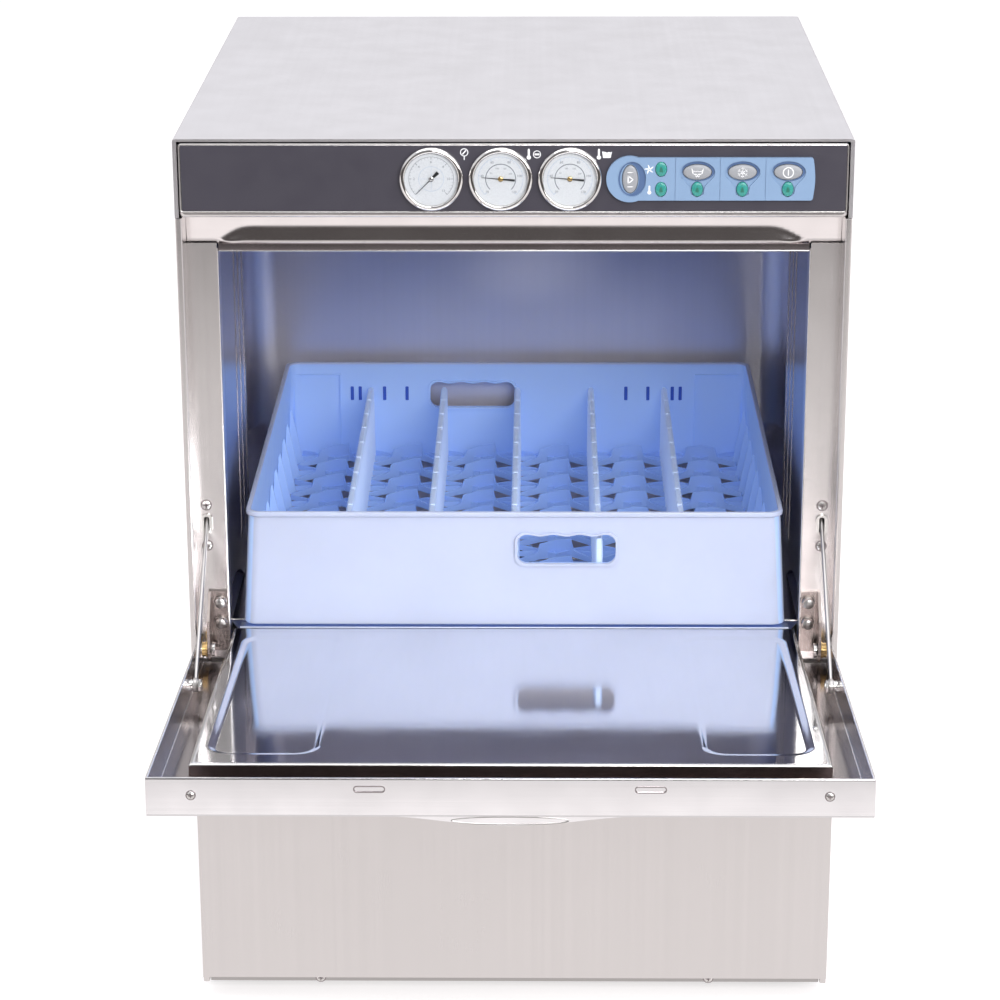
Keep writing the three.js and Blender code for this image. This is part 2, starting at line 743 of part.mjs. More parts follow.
// ---------- door: x across, -y out along the open door, z to the chamber side; origin on the hinge ------
function rodPivot() {
  const reach = Math.hypot(ROD_GUIDE.y - HINGE.y, ROD_GUIDE.z - HINGE.z);
  return { y: -Math.sqrt(reach ** 2 - ROD.pivotRise ** 2), z: ROD.pivotRise };
}

function pullHandle() {
  const half = 100;
  const depth = 8;
  const top = 2 - DOOR.skin;
  const shape = new THREE.Shape();
  shape.moveTo(-half, top);
  shape.lineTo(-half, -DOOR.skin);
  shape.quadraticCurveTo(0, -DOOR.skin - 2 * depth, half, -DOOR.skin);
  shape.lineTo(half, top);
  shape.closePath();
  const bulge = prism(shape, "y", -DOOR.length, -DOOR.length + 34, 7);
  const grip = prism(ellipse(0, -DOOR.skin - 3.4, 47, 3.2), "y", -DOOR.length - 1, -DOOR.length + 26, 7);
  return cut(bulge, [grip]);
}

function doorOuterSkin() {
  const { half, length, tail, skin, lip } = DOOR;
  const outer = block([-half, half], [-length, tail], [-skin, lip]);
  const hollow = block([SHEET - half, half - SHEET], [SHEET - length, tail + 1], [SHEET - skin, lip + 1]);
  const hemZ = [lip - SHEET, lip];
  const frontHem = block([1 - half, half - 1], [-length + 1, 4.5 - length], hemZ);
  const sideHem = block([half - 3, half - 1], [1 - length, tail - 4], hemZ);
  const slots = [-113, 113].map((x) =>
    prism(roundedRect(x - 11.5, x + 11.5, 0, 5, 2.4), "y", -length - 1, -length + 3, 2),
  );
  const pivot = rodPivot();
  const stud = bar(3, "x", [pivot.y, pivot.z], 278.6, half - 0.5, 10);
  const spacer = bar(5, "x", [pivot.y, pivot.z], ROD_X + ROD.thick / 2 + 0.45, half - 0.5, 10);
  const nut = bar(5.6, "x", [pivot.y, pivot.z], 279.4, ROD_X - ROD.thick / 2 - 0.45, 6);
  const pins = [bar(4.5, "x", [0, 0], half - 4, half + 1, 12)];
  const swing = FRAME_Y - HINGE.y - 0.7;
  const corner = block([-half - 1, half + 1], [0, 30], [0, 30]);
  const clearance = corner.subtract(bar(swing, "x", [0, 0], -half - 2, half + 2, 32));
  const fittings = [sideHem, stud, spacer, nut].flatMap((piece) => [piece, piece.mirror([1, 0, 0])]);
  const holes = [...slots, ...pins, ...pins.map((pin) => pin.mirror([1, 0, 0]))];
  return cut(union([cut(outer, [hollow]), frontHem, pullHandle(), ...fittings]), [...holes, clearance]);
}

function doorInnerPan() {
  const { half, front, tail, top, floor } = PAN;
  const outer = block([-half, half], [-front, tail], [-floor, top]);
  const inner = block([SHEET - half, half - SHEET], [SHEET - front, tail - SHEET], [-floor - 1, top - SHEET]);
  return cut(outer, [inner]);
}

// ---------- hinges and tie rods ----------
function hingeBracket() {
  const { y, z } = HINGE;
  const face = FRAME_Y - GAP;
  const leg = block([267.5, 285], [face - 2.5, face], [335, 394]);
  const outline = new THREE.Shape();
  outline.moveTo(face, z - 6);
  outline.lineTo(face, 394);
  outline.lineTo(face - 4, 394);
  outline.lineTo(FRONT + 5, 372);
  outline.absarc(y, z, 11, Math.PI * 0.9, Math.PI * 1.6, false);
  outline.closePath();
  const flange = prism(outline, "x", 282.6, 285.1, 6);
  const bolts = [383.8, 363.4].flatMap((height) => [
    bar(7.6, "y", [274, height], face - 3.5, face - 2, 12),
    bar(6.2, "y", [274, height], face - 8, face - 2, 6),
  ]);
  const bore = bar(4.5, "x", [y, z], 280, 288, 12);
  return cut(union([leg, flange, ...bolts]), [bore]);
}

function hingePin() {
  const { y, z } = HINGE;
  const head = bar(7, "x", [y, z], 278.8, 282.2, 12);
  const shank = bar(4, "x", [y, z], 281, DOOR.half + 0.3, 12);
  return union([head, shank]);
}

function hingeBush() {
  const { y, z } = HINGE;
  const ring = bar(7.8, "x", [y, z], 285.5, 291.3, 12);
  return cut(ring, [bar(4.5, "x", [y, z], 284, 293, 12)]);
}

function rodGuide() {
  const { y, z } = ROD_GUIDE;
  const flange = prism(roundedRect(ROD_X - 5.4, ROD_X + 5.4, z - 10, z + 10, 5.3), "y", y - 2, y - GAP, 2);
  const sleeve = prism(roundedRect(ROD_X - 3.8, ROD_X + 3.8, z - 8.2, z + 8.2, 3.7), "y", y - 1, y + 2, 2);
  const slot = prism(roundedRect(ROD_X - 2.4, ROD_X + 2.4, z - 7.7, z + 7.7, 2.3), "y", y - 4, y + 8, 2);
  return cut(union([flange, sleeve]), [slot]);
}

// Flat bar with an eye at the origin, running along +y through the guide, with a spring seat at its far end.
function tieRod() {
  const w = ROD.width / 2;
  const { length, thick } = ROD;
  const strip = block([-thick / 2, thick / 2], [4, length], [-w, w]);
  const eye = bar(6.5, "x", [0, 0], -thick / 2, thick / 2, 12);
  const bore = bar(3.5, "x", [0, 0], -4, 4, 10);
  const seat = bar(9, "y", [0, 0], length - 3, length, 12);
  return cut(union([strip, eye, seat]), [bore]);
}

class Helix extends THREE.Curve {
  constructor(radius, from, to, turns) {
    super();
    Object.assign(this, { radius, from, to, turns });
  }
  getPoint(t, target = new THREE.Vector3()) {
    const angle = 2 * Math.PI * this.turns * t;
    const along = this.from + (this.to - this.from) * t;
    return target.set(this.radius * Math.cos(angle), along, this.radius * Math.sin(angle));
  }
}

// Compression spring at its shortest, with the door open, between the guide and the rod's seat.
function rodSpring(start) {
  const wire = 1.1;
  const helix = new Helix(7, start + wire + 7, ROD.length - 3.4 - wire, 5);
  return swept(helix, wire, 42, 4);
}

// ---------- rack ----------
function tapered(shape, low, high, lowScale, highScale) {
  const geometry = new THREE.ExtrudeGeometry(shape, {
    depth: high - low,
    bevelEnabled: false,
    curveSegments: 3,
  });
  const points = geometry.attributes.position;
  for (let i = 0; i < points.count; i++) {
    const t = points.getZ(i) / (high - low);
    const scale = lowScale + (highScale - lowScale) * t;
    points.setXY(i, points.getX(i) * scale, points.getY(i) * scale);
  }
  return solidOf(geometry.translate(0, 0, low));
}

// Rack about its own centre, standing on z = 0.
function glassRack() {
  const { half, height, wall, rim, columns, pitch } = RACK;
  const square = (size, r) => roundedRect(-size, size, -size, size, r);
  const body = tapered(square(half, 12), 0, height - rim + 1, 1, 0.972);
  const collar = prism(square(half - 3.5, 12), "z", height - rim, height, 3);
  const hollow = tapered(square(half - wall, 10), wall, height + 1, 1, 0.968);
  const cells = [];
  for (let column = 0; column < columns; column++) {
    const x = (column - (columns - 1) / 2) * pitch;
    for (let row = 0; row < 5; row++) {
      const y = (row - 2) * 92;
      cells.push(block([x - 30, x + 30], [y - 38, y + 38], [-1, wall + 1]));
    }
  }
  const dividers = [];
  for (let i = 1; i < columns; i++) {
    const x = (i - columns / 2) * pitch;
    dividers.push(block([x - 1.5, x + 1.5], [4 - half, half - 4], [wall - 1, height - 27]));
  }
  const grip = (x, y) => {
    const opening = roundedRect(x - 45, x + 45, 60, 88, 10);
    return prism(opening, "y", y - 12, y + 12, 4);
  };
  const shell = cut(union([body, collar]), [hollow, ...cells, grip(48, -half), grip(-48, half)]);
  return union([shell, ...dividers]);
}

// ---------- assembly ----------
const dishwasher = new THREE.Group();

function addCabinet() {
  const cabinet = new THREE.Group();
  place(cabinet, "base_pan", brushedSteel(), basePan());
  bothSides(cabinet, "side_panel", brushedSteel, sidePanel());
  place(cabinet, "back_panel", brushedSteel(), backPanel());
  place(cabinet, "top_cover", brushedSteel(), topCover());
  place(cabinet, "front_frame", brushedSteel(), frontFrame());
  place(cabinet, "lower_front_panel", brushedSteel(), lowerFrontPanel());
  place(cabinet, "wash_chamber", polishedSteel(), washChamber());
  for (const [front, y] of [["front", -FEET.y], ["rear", FEET.y]]) {
    for (const [side, x] of [["left", -FEET.x], ["right", FEET.x]]) {
      const mesh = place(cabinet, "foot_" + front + "_" + side, blackPlastic(), foot());
      mesh.position.set(x, y, 0);
    }
  }
  dishwasher.add(cabinet);
}

function addWaterParts() {
  const water = new THREE.Group();
  place(water, "sump_filter", fasteners(), sumpFilter());
  place(water, "overflow_standpipe", finish(0x8f9399, 0.5, 0), overflowStandpipe());
  place(water, "tank_heater", finish(0x8c8a86, 0.4, 1), tankHeater());
  place(water, "boiler", finish(0xb8bcc2, 0.35, 1), boiler());
  place(water, "wash_pump", finish(0x4a4d52, 0.55, 0.3), washPump());
  place(water, "drain_pump", blackPlastic(), drainPump());
  place(water, "dosing_pump", greyPlastic(), dosingPump());
  place(water, "inlet_valve", finish(0xe6e6e2, 0.5, 0), inletValve());
  place(water, "power_cable", finish(0x2b2b2d, 0.7, 0), powerCable());
  place(water, "upper_spray_pipe", fasteners(), upperSprayPipe());

  const lower = new THREE.Group();
  lower.position.set(0, SPRAY.y, 0);
  place(lower, "lower_spray_post", fasteners(), lowerSprayPost());
  place(lower, "lower_wash_arm", brushedSteel(), sprayArm(SPRAY.wash, 36, 312, 326, 13.2, true));
  const lowerRinse = place(
    lower,
    "lower_rinse_arm",
    brushedSteel(),
    sprayArm(SPRAY.rinse, 16, 332.5, 341.5, 9.2, true),
  );
  lowerRinse.rotation.z = Math.PI / 3;
  const upper = new THREE.Group();
  upper.position.set(0, SPRAY.y, 0);
  place(upper, "upper_wash_arm", brushedSteel(), sprayArm(SPRAY.wash, 36, 722, 734.6, 13.2, false));
  const upperRinse = place(
    upper,
    "upper_rinse_arm",
    brushedSteel(),
    sprayArm(SPRAY.rinse, 16, 707.5, 716, 9.2, false),
  );
  upperRinse.rotation.z = Math.PI / 6;
  water.add(lower, upper);
  dishwasher.add(water);
}

function addControls() {
  const controls = new THREE.Group();
  place(controls, "control_fascia", brushedSteel(), controlFascia());
  place(controls, "fascia_overlay", finish(0x55535f, 0.5, 0), fasciaOverlay());
  place(controls, "control_module", finish(0xa5bee1, 0.45, 0), controlModule());
  place(controls, "indicator_lenses", finish(0x2da58c, 0.3, 0), indicatorLenses());
  place(controls, "control_board", finish(0x2f6b46, 0.6, 0), controlBoard());
  place(controls, "start_button", greyPlastic(), startButton());
  ["drain_button", "rinse_button", "power_button"].forEach((name, i) => {
    place(controls, name, greyPlastic(), keyButton(BUTTON.x[i]));
  });
  const gauges = [
    ["pressure_gauge", gaugeNeedle(16, 8, 6), 225],
    ["rinse_gauge", gaugeNeedle(13, 11, 1.8), 175],
    ["tank_gauge", gaugeNeedle(13, 11, 1.8), 175],
  ];
  gauges.forEach(([name, needle, angle], i) => {
    const gauge = new THREE.Group();
    gauge.position.set(DIALS.x[i], FRONT, DIALS.z);
    place(gauge, name + "_case", finish(0xd8d8da, 0.15, 1), gaugeCase());
    place(gauge, name + "_lens", finish(0xf4f8fa, 0.05, 0), gaugeLens());
    const pointer = place(gauge, name + "_needle", finish(0x303034, 0.4, 0), needle);
    pointer.rotation.y = THREE.MathUtils.degToRad(-angle);
    controls.add(gauge);
  });
  dishwasher.add(controls);
}

function addDoor() {
  const tilt = THREE.MathUtils.degToRad(DOOR.tilt);
  const door = new THREE.Group();
  door.position.set(0, HINGE.y, HINGE.z);
  door.rotation.x = -tilt;
  place(door, "door_outer_skin", brushedSteel(), doorOuterSkin());
  place(door, "door_inner_pan", polishedSteel(), doorInnerPan());
  dishwasher.add(door);

  const hinges = new THREE.Group();
  bothSides(hinges, "hinge_bracket", brushedSteel, hingeBracket());
  bothSides(hinges, "hinge_pin", fasteners, hingePin());
  bothSides(hinges, "hinge_bush", () => finish(0xb98a4a, 0.35, 1), hingeBush());
  bothSides(hinges, "rod_guide", fasteners, rodGuide());
  dishwasher.add(hinges);

  const pivot = rodPivot();
  const eye = new THREE.Vector3(0, pivot.y, pivot.z);
  eye.applyAxisAngle(X, -tilt).add(new THREE.Vector3(0, HINGE.y, HINGE.z));
  const rise = Math.atan2(ROD_GUIDE.z - eye.z, ROD_GUIDE.y - eye.y);
  const reach = Math.hypot(ROD_GUIDE.z - eye.z, ROD_GUIDE.y - eye.y);
  for (const [side, x] of [["left", -ROD_X], ["right", ROD_X]]) {
    const linkage = new THREE.Group();
    linkage.position.set(x, eye.y, eye.z);
    linkage.rotation.x = rise;
    place(linkage, "tie_rod_" + side, fasteners(), tieRod());
    place(linkage, "door_spring_" + side, finish(0x9a9a9c, 0.3, 1), rodSpring(reach));
    dishwasher.add(linkage);
  }
}

function addRack() {
  const rack = place(dishwasher, "glass_rack", rackPlastic(), glassRack());
  rack.position.set(0, RACK.y, RACK.bottom);
}

addCabinet();
addWaterParts();
addControls();
addDoor();
addRack();

export default dishwasher;
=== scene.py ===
import math

import bmesh
import bpy
from mathutils import Matrix, Vector
from mathutils.geometry import tessellate_polygon


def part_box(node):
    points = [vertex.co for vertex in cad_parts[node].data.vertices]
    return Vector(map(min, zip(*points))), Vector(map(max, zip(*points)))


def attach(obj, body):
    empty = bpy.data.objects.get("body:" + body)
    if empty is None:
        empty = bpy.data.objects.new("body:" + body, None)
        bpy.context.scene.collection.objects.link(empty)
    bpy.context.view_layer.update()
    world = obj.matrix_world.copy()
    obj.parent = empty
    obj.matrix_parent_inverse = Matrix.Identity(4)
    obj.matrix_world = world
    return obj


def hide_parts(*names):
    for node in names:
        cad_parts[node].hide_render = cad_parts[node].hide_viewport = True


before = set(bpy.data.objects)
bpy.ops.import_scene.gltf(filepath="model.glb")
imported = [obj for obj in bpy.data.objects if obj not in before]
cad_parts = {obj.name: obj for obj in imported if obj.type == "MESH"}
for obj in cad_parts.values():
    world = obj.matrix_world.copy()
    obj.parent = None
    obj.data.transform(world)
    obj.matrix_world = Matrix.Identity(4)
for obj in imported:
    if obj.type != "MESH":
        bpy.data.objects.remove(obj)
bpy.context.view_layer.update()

# Looks of a commercial undercounter dishwasher, built around its CAD frame.
# Shapes are written in millimetres, +Z up, front at -Y. A shape that belongs to the open door is written in
# the door's own axes, with the hinge as their origin and the door lying level, and is placed by DOOR.
MM = 0.001
TAU = 2 * math.pi
FRONT, REAR, SIDE = -310.0, 310.0, 300.0  # outer faces of the cabinet
FACE = -280.0  # plane of the door frame
OPENING = 265.5  # half the width of the door opening
HEADER_Z = 726.7  # lower edge of the header's face
DIAL_Z = 792.8
KEY_Z = 799.3

HINGE = Vector((0, -296, 341.2))
TILT = math.radians(-5.03)
DOOR = Matrix.Translation(HINGE) @ Matrix.Rotation(TILT, 4, "X")
DOOR_LENGTH, DOOR_HALF = 412.8, 293.2
DOOR_FLOOR = -16.3  # inner face of the door's outer sheet
SLOT_PLACES = (-113, 113)  # drain slots in the door's front lip

ROD_X = 284.45  # distance of each tie rod from the middle
GUIDE_Z = 459.5  # height of the slotted guide in the post
ROD_EYE = (-414.725, 353.657)  # y and z of a rod's pivot on the door


# ---------- shapes ----------
class Shape:
    """Points in millimetres and the faces between them."""

    def __init__(self):
        self.points, self.faces = [], []

    def add(self, points, faces):
        base = len(self.points)
        self.points += [tuple(p) for p in points]
        self.faces += [[i + base for i in face] for face in faces]
        return self

    def join(self, *others):
        for other in others:
            self.add(other.points, other.faces)
        return self

    def moved(self, matrix):
        return Shape().add([matrix @ Vector(p) for p in self.points], self.faces)

    def at(self, x, y, z):
        return self.moved(Matrix.Translation((x, y, z)))

    def mirrored(self):
        return Shape().add([(-x, y, z) for x, y, z in self.points], [f[::-1] for f in self.faces])


def joined(shapes):
    return Shape().join(*shapes)


def both_sides(shape):
    """The shape and its mirror image across the middle of the machine."""
    return joined([shape, shape.mirrored()])


def on_axis(axis, u, v, w):
    return {"z": (u, v, w), "y": (u, w, v), "x": (w, u, v)}[axis]


def prism(loops, axis, a, b):
    """Extrudes an outline, with the holes that follow it, along an axis from a to b."""
    n = sum(len(loop) for loop in loops)
    flat = [p for loop in loops for p in loop]
    points = [on_axis(axis, u, v, w) for w in (a, b) for u, v in flat]
    if len(loops) == 1:
        faces = [list(range(n)), list(range(2 * n - 1, n - 1, -1))]
    else:
        tris = tessellate_polygon([[Vector((u, v, 0)) for u, v in loop] for loop in loops])
        faces = [list(t) for t in tris] + [[i + n for i in t[::-1]] for t in tris]
    base = 0
    for loop in loops:
        m = len(loop)
        for i in range(m):
            j = base + (i + 1) % m
            faces.append([base + i, j, j + n, base + i + n])
        base += m
    return Shape().add(points, faces)


def loft(rings, closed=False, caps=True):
    """Joins rings of equally many points; closed joins the last ring to the first."""
    n, count = len(rings[0]), len(rings)
    faces = []
    for k in range(count if closed else count - 1):
        a, b = k * n, (k + 1) % count * n
        for i in range(n):
            j = (i + 1) % n
            faces.append([a + i, a + j, b + j, b + i])
    if caps and not closed:
        faces += [list(range(n)), list(range((count - 1) * n, count * n))]
    return Shape().add([p for ring in rings for p in ring], faces)


def sheet(rows):
    """An open sheet through a grid of points."""
    wide = len(rows[0])
    corners = [a * wide + b for a in range(len(rows) - 1) for b in range(wide - 1)]
    points = [p for row in rows for p in row]
    return Shape().add(points, [[i, i + 1, i + wide + 1, i + wide] for i in corners])


def box(x, y, z):
    return prism([rect(x[0], x[1], y[0], y[1])], "z", z[0], z[1])


def rect(u0, u1, v0, v1):
    return [(u0, v0), (u1, v0), (u1, v1), (u0, v1)]


def rounded(u0, u1, v0, v1, r, n=6):
    points = []
    for cu, cv, start in (
        (u1 - r, v0 + r, -0.25), (u1 - r, v1 - r, 0), (u0 + r, v1 - r, 0.25), (u0 + r, v0 + r, 0.5),
    ):
        for k in range(n + 1):
            angle = TAU * (start + 0.25 * k / n)
            points.append((cu + r * math.cos(angle), cv + r * math.sin(angle)))
    return points


def quarter(n=6):
    """Angles of a quarter turn in n steps."""
    return [k * math.pi / (2 * n) for k in range(n + 1)]


def circle(u, v, r, n=48):
    return ellipse(u, v, r, r, n)


def ellipse(u, v, a, b, n=48):
    return [(u + a * math.cos(TAU * k / n), v + b * math.sin(TAU * k / n)) for k in range(n)]


def hoop(outer, inner, a, b, axis="y"):
    """A flat ring between two outlines."""
    return prism([outer, inner[::-1]], axis, a, b)


def bar(radius, axis, a, b, n):
    """A round bar along an axis through the origin."""
    return prism([circle(0, 0, radius, n)], axis, a, b)


def turned(profile, axis="z", n=48, closed=False):
    """A profile of (radius, height) turned about an axis through the origin."""
    rings = []
    for radius, height in profile:
        ring = []
        for k in range(n):
            angle = TAU * k / n
            ring.append(on_axis(axis, radius * math.cos(angle), radius * math.sin(angle), height))
        rings.append(ring)
    return loft(rings, closed)


def tube(path, radius, n):
    """A round rod along a path."""
    path = [Vector(p) for p in path]
    normal = None
    rings = []
    for i, p in enumerate(path):
        along = (path[min(i + 1, len(path) - 1)] - path[max(i - 1, 0)]).normalized()
        if normal is None:
            helper = Vector((0, 0, 1)) if abs(along.z) < 0.9 else Vector((1, 0, 0))
            normal = along.cross(helper).normalized()
        normal = (normal - along * normal.dot(along)).normalized()
        side = along.cross(normal)
        angles = [TAU * k / n for k in range(n)]
        rings.append([p + radius * (normal * math.cos(a) + side * math.sin(a)) for a in angles])
    return loft(rings)


def placed(name, data):
    """An object in the scene that holds the data."""
    o = bpy.data.objects.new(name, data)
    bpy.context.scene.collection.objects.link(o)
    return o


def evaluated(o):
    """The object's mesh after its modifiers, as a shape's points and faces."""
    bpy.context.view_layer.update()
    made = o.evaluated_get(bpy.context.evaluated_depsgraph_get())
    mesh = made.to_mesh()
    points, faces = [tuple(v.co) for v in mesh.vertices], [list(f.vertices) for f in mesh.polygons]
    made.to_mesh_clear()
    return points, faces


def cut(shape, *tools):
    """The shape with the volume of each tool taken away in turn."""
    for tool in tools:
        objects = []
        for part in (shape, tool):
            mesh = bpy.data.meshes.new("work")
            mesh.from_pydata(part.points, [], part.faces)
            clean(mesh, 1e-4)
            objects.append(placed("work", mesh))
        modifier = objects[0].modifiers.new("cut", "BOOLEAN")
        modifier.object, modifier.solver = objects[1], "EXACT"
        shape = Shape().add(*evaluated(objects[0]))
        for o in objects:
            data = o.data
            bpy.data.objects.remove(o)
            bpy.data.meshes.remove(data)
    return shape


def clean(mesh, distance):
    work = bmesh.new()
    work.from_mesh(mesh)
    bmesh.ops.remove_doubles(work, verts=work.verts, dist=distance)
    bmesh.ops.recalc_face_normals(work, faces=work.faces)
    work.to_mesh(mesh)
    work.free()


def piece(name, shape, look, body, slot, hides=(), bevel=0, segments=2, sharp=32, solid=0):
    """Makes a shown piece that rides on a body.

    slot is not used, and hides names the CAD nodes that it stands for. bevel is the width of its soft
    edges, sharp the angle above which an edge stays sharp, and solid the thickness of an open sheet.
    """
    mesh = bpy.data.meshes.new(name)
    mesh.from_pydata([[c * MM for c in p] for p in shape.points], [], shape.faces)
    clean(mesh, 1e-6)
    mesh.materials.append(look)
    mesh.shade_smooth()
    mesh.set_sharp_from_angle(angle=math.radians(sharp))
    o = placed(name, mesh)
    if solid:
        thick = o.modifiers.new("sheet", "SOLIDIFY")
        thick.thickness, thick.offset = abs(solid) * MM, math.copysign(1, solid)
        thick.use_even_offset = True
    if bevel:
        soften(o, bevel, segments)
    even_shading(o)
    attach(o, body)
    if hides:
        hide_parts(*hides)


def soften(o, width, segments):
    edge = o.modifiers.new("edges", "BEVEL")
    edge.width, edge.segments, edge.limit_method = width * MM, segments, "ANGLE"
    edge.angle_limit, edge.harden_normals, edge.use_clamp_overlap = math.radians(32), False, True


def even_shading(o):
    """Lets large flat faces keep their own normals beside rounded edges."""
    weighted = o.modifiers.new("normals", "WEIGHTED_NORMAL")
    weighted.mode, weighted.weight, weighted.keep_sharp = "FACE_AREA", 60, True


def dress(node, look, bevel, segments=2, merge=True):
    """Gives a CAD node its finish and soft edges without touching its points.

    merge joins flat faces first; a folded sheet with large cut-outs does without, as its merged faces tear.
    """
    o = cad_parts[node]
    mesh = o.data
    mesh.materials.clear()
    mesh.materials.append(look)
    for name in ("custom_normal", "sharp_edge", "sharp_face"):
        if name in mesh.attributes:
            mesh.attributes.remove(mesh.attributes[name])
    weld = o.modifiers.new("weld", "WELD")
    weld.merge_threshold = 1e-6
    if merge:
        flat = o.modifiers.new("flat", "DECIMATE")
        flat.decimate_type, flat.angle_limit = "DISSOLVE", math.radians(0.6)
    soften(o, bevel, segments)
    even_shading(o)


# ---------- finishes ----------
class Graph:
    """A node tree under construction."""

    def __init__(self, tree):
        self.tree = tree

    def plug(self, socket, value):
        """Links the socket to another one, or gives it a plain value."""
        if isinstance(value, bpy.types.NodeSocket):
            self.tree.links.new(value, socket)
        else:
            socket.default_value = value

    def add(self, kind, inputs=None, **settings):
        node = self.tree.nodes.new(kind)
        for key, value in settings.items():
            setattr(node, key, value)
        for key, value in (inputs or {}).items():
            self.plug(node.inputs[key], value)
        return node

    def maths(self, operation, *values):
        return self.add("ShaderNodeMath", dict(enumerate(values)), operation=operation).outputs[0]

    def ranged(self, value, low, high, start=0.3, end=0.7):
        """Maps a value from start...end to low...high."""
        inputs = {"Value": value, "From Min": start, "From Max": end, "To Min": low, "To Max": high}
        return self.add("ShaderNodeMapRange", inputs).outputs["Result"]

    def ramp(self, factor, stops):
        """Colours along a factor between 0 and 1."""
        node = self.add("ShaderNodeValToRGB", {"Fac": factor})
        ends = node.color_ramp.elements
        for element, (position, color) in ((ends[0], stops[0]), (ends[1], stops[-1])):
            element.position, element.color = position, (*color, 1)
        for position, color in stops[1:-1]:
            ends.new(position).color = (*color, 1)
        return node.outputs["Color"]

    def surface(self, factor, a, b):
        """Sends a blend of two shaders to the tree's output."""
        blend = self.add("ShaderNodeMixShader", {0: factor, 1: a, 2: b})
        out = next(node for node in self.tree.nodes if node.bl_idname.startswith("ShaderNodeOutput"))
        self.plug(out.inputs["Surface"], blend.outputs[0])


class Finish(Graph):
    """A node material under construction."""

    def __init__(self, name):
        self.mat = bpy.data.materials.new(name)
        self.mat.use_nodes = True
        super().__init__(self.mat.node_tree)
        self.bsdf = self.tree.nodes["Principled BSDF"]
        self.coords = self.add("ShaderNodeTexCoord").outputs["Object"]

    def set(self, key, value):
        self.plug(self.bsdf.inputs[key], value)

    def noise(self, scale, detail=3, rough=0.5):
        """Noise between 0 and 1, its scale given along x, y and z."""
        mapped = self.add("ShaderNodeMapping", {"Vector": self.coords, "Scale": scale})
        inputs = {"Vector": mapped.outputs["Vector"], "Scale": 1.0, "Detail": detail, "Roughness": rough}
        return self.add("ShaderNodeTexNoise", inputs).outputs["Fac"]

    def mixed(self, factor, a, b):
        """A colour between a and b; sockets 6, 7 and output 2 are the node's colours."""
        a, b = (c if isinstance(c, bpy.types.NodeSocket) else (*c, 1) for c in (a, b))
        return self.add("ShaderNodeMix", {0: factor, 6: a, 7: b}, data_type="RGBA").outputs[2]

    def bump(self, height, strength, distance):
        inputs = {"Height": height, "Strength": strength, "Distance": distance}
        self.set("Normal", self.add("ShaderNodeBump", inputs).outputs["Normal"])


GRAIN = {"x": (3, 1400, 1400), "y": (1400, 3, 1400), "z": (1400, 1400, 3)}
AXES = {"x": (1, 0, 0), "y": (0, 1, 0), "z": (0, 0, 1)}


def steel(name, color, rough, grain="z", spread=0.012, lean=0.5, mottle=0.015, relief=0.015, wave=0.0):
    """Brushed stainless steel with its grain along an axis.

    spread is the roughness's range, lean the anisotropy, mottle the tone's range, relief the grain's depth
    and wave a broad swell of the surface.
    """
    f = Finish(name)
    fine = f.noise(GRAIN[grain], 4, 0.6)
    broad = f.noise([s / 9 for s in GRAIN[grain]], 2)
    cloud = f.noise((5, 5, 5), 3)
    smear = f.noise((28, 28, 28), 3)
    dark = [c * (1 - mottle) for c in color]
    light = [min(1, c * (1 + mottle * 0.6)) for c in color]
    tone = f.mixed(f.ranged(cloud, 0.0, 1.0), dark, light)
    f.set("Base Color", f.mixed(f.ranged(broad, 0.0, 0.22), tone, [c * 0.9 for c in color]))
    level = f.maths("ADD", f.ranged(fine, rough - spread, rough + spread), f.ranged(smear, -0.012, 0.018))
    f.set("Roughness", level)
    f.set("Metallic", 1.0)
    f.set("Anisotropic", lean)
    f.set("Tangent", f.add("ShaderNodeCombineXYZ", dict(zip("XYZ", AXES[grain]))).outputs[0])
    if wave:
        fine = f.maths("ADD", fine, f.maths("MULTIPLY", f.noise((7, 3, 7), 2), wave))
    f.bump(fine, relief, 0.00003)
    return f.mat


def moulded(name, color, rough, depth=0.05, inner=0.0, coat=0.0, scale=900, finish=None):
    """Moulded plastic with a fine skin texture; inner is the share of light that enters it."""
    f = Finish(name)
    grain = f.noise((scale, scale, scale), 3)
    cloud = f.noise((9, 9, 9), 4)
    dark, light = [c * 0.96 for c in color], [min(1, c * 1.04) for c in color]
    f.set("Base Color", f.mixed(f.ranged(cloud, 0.0, 1.0), dark, light))
    f.set("Roughness", f.ranged(f.noise((60, 60, 60), 3), rough - 0.05, rough + 0.07))
    f.set("Coat Weight", coat)
    if inner:
        f.set("Subsurface Weight", inner)
        f.set("Subsurface Radius", (0.002, 0.003, 0.006))
        f.set("Subsurface Scale", 1.0)
    f.bump(grain, depth, 0.0001)
    if finish:
        finish(f)
    return f.mat


def painted_glow(f, factor, color, strength):
    """Painted light: emission that makes the plastic glow, though it is no lamp."""
    f.set("Emission Color", (*color, 1))
    f.set("Emission Strength", f.maths("MULTIPLY", factor, strength))


def rack_painted_bounce(f):
    """Paints bounced light inside the rack: its inner faces get a deeper colour and a faint glow, by how far
    a point stands from its walls.
    """
    split = f.add("ShaderNodeSeparateXYZ", {0: f.coords})
    across = f.maths("ABSOLUTE", split.outputs["X"])
    along = f.maths("ABSOLUTE", f.maths("ADD", split.outputs["Y"], 0.0215))
    # the walls' draft: they stand further out towards the rim
    lean = f.maths("MULTIPLY_ADD", split.outputs["Z"], 0.0575, -0.0206)
    far = f.maths("ADD", f.maths("MAXIMUM", across, along), lean)
    inside = f.ranged(far, 1.0, 0.0, 0.2515, 0.2527)
    below_rim = f.ranged(split.outputs["Z"], 1.0, 0.0, 0.4655, 0.467)
    share = f.maths("MULTIPLY", inside, below_rim)
    outer = f.bsdf.inputs["Base Color"].links[0].from_socket
    # painted bounce light: a deeper blue and a glow on the inner faces
    f.set("Base Color", f.mixed(share, outer, (0.46, 0.62, 0.92)))
    painted_glow(f, share, (0.20, 0.34, 0.74), 0.17)


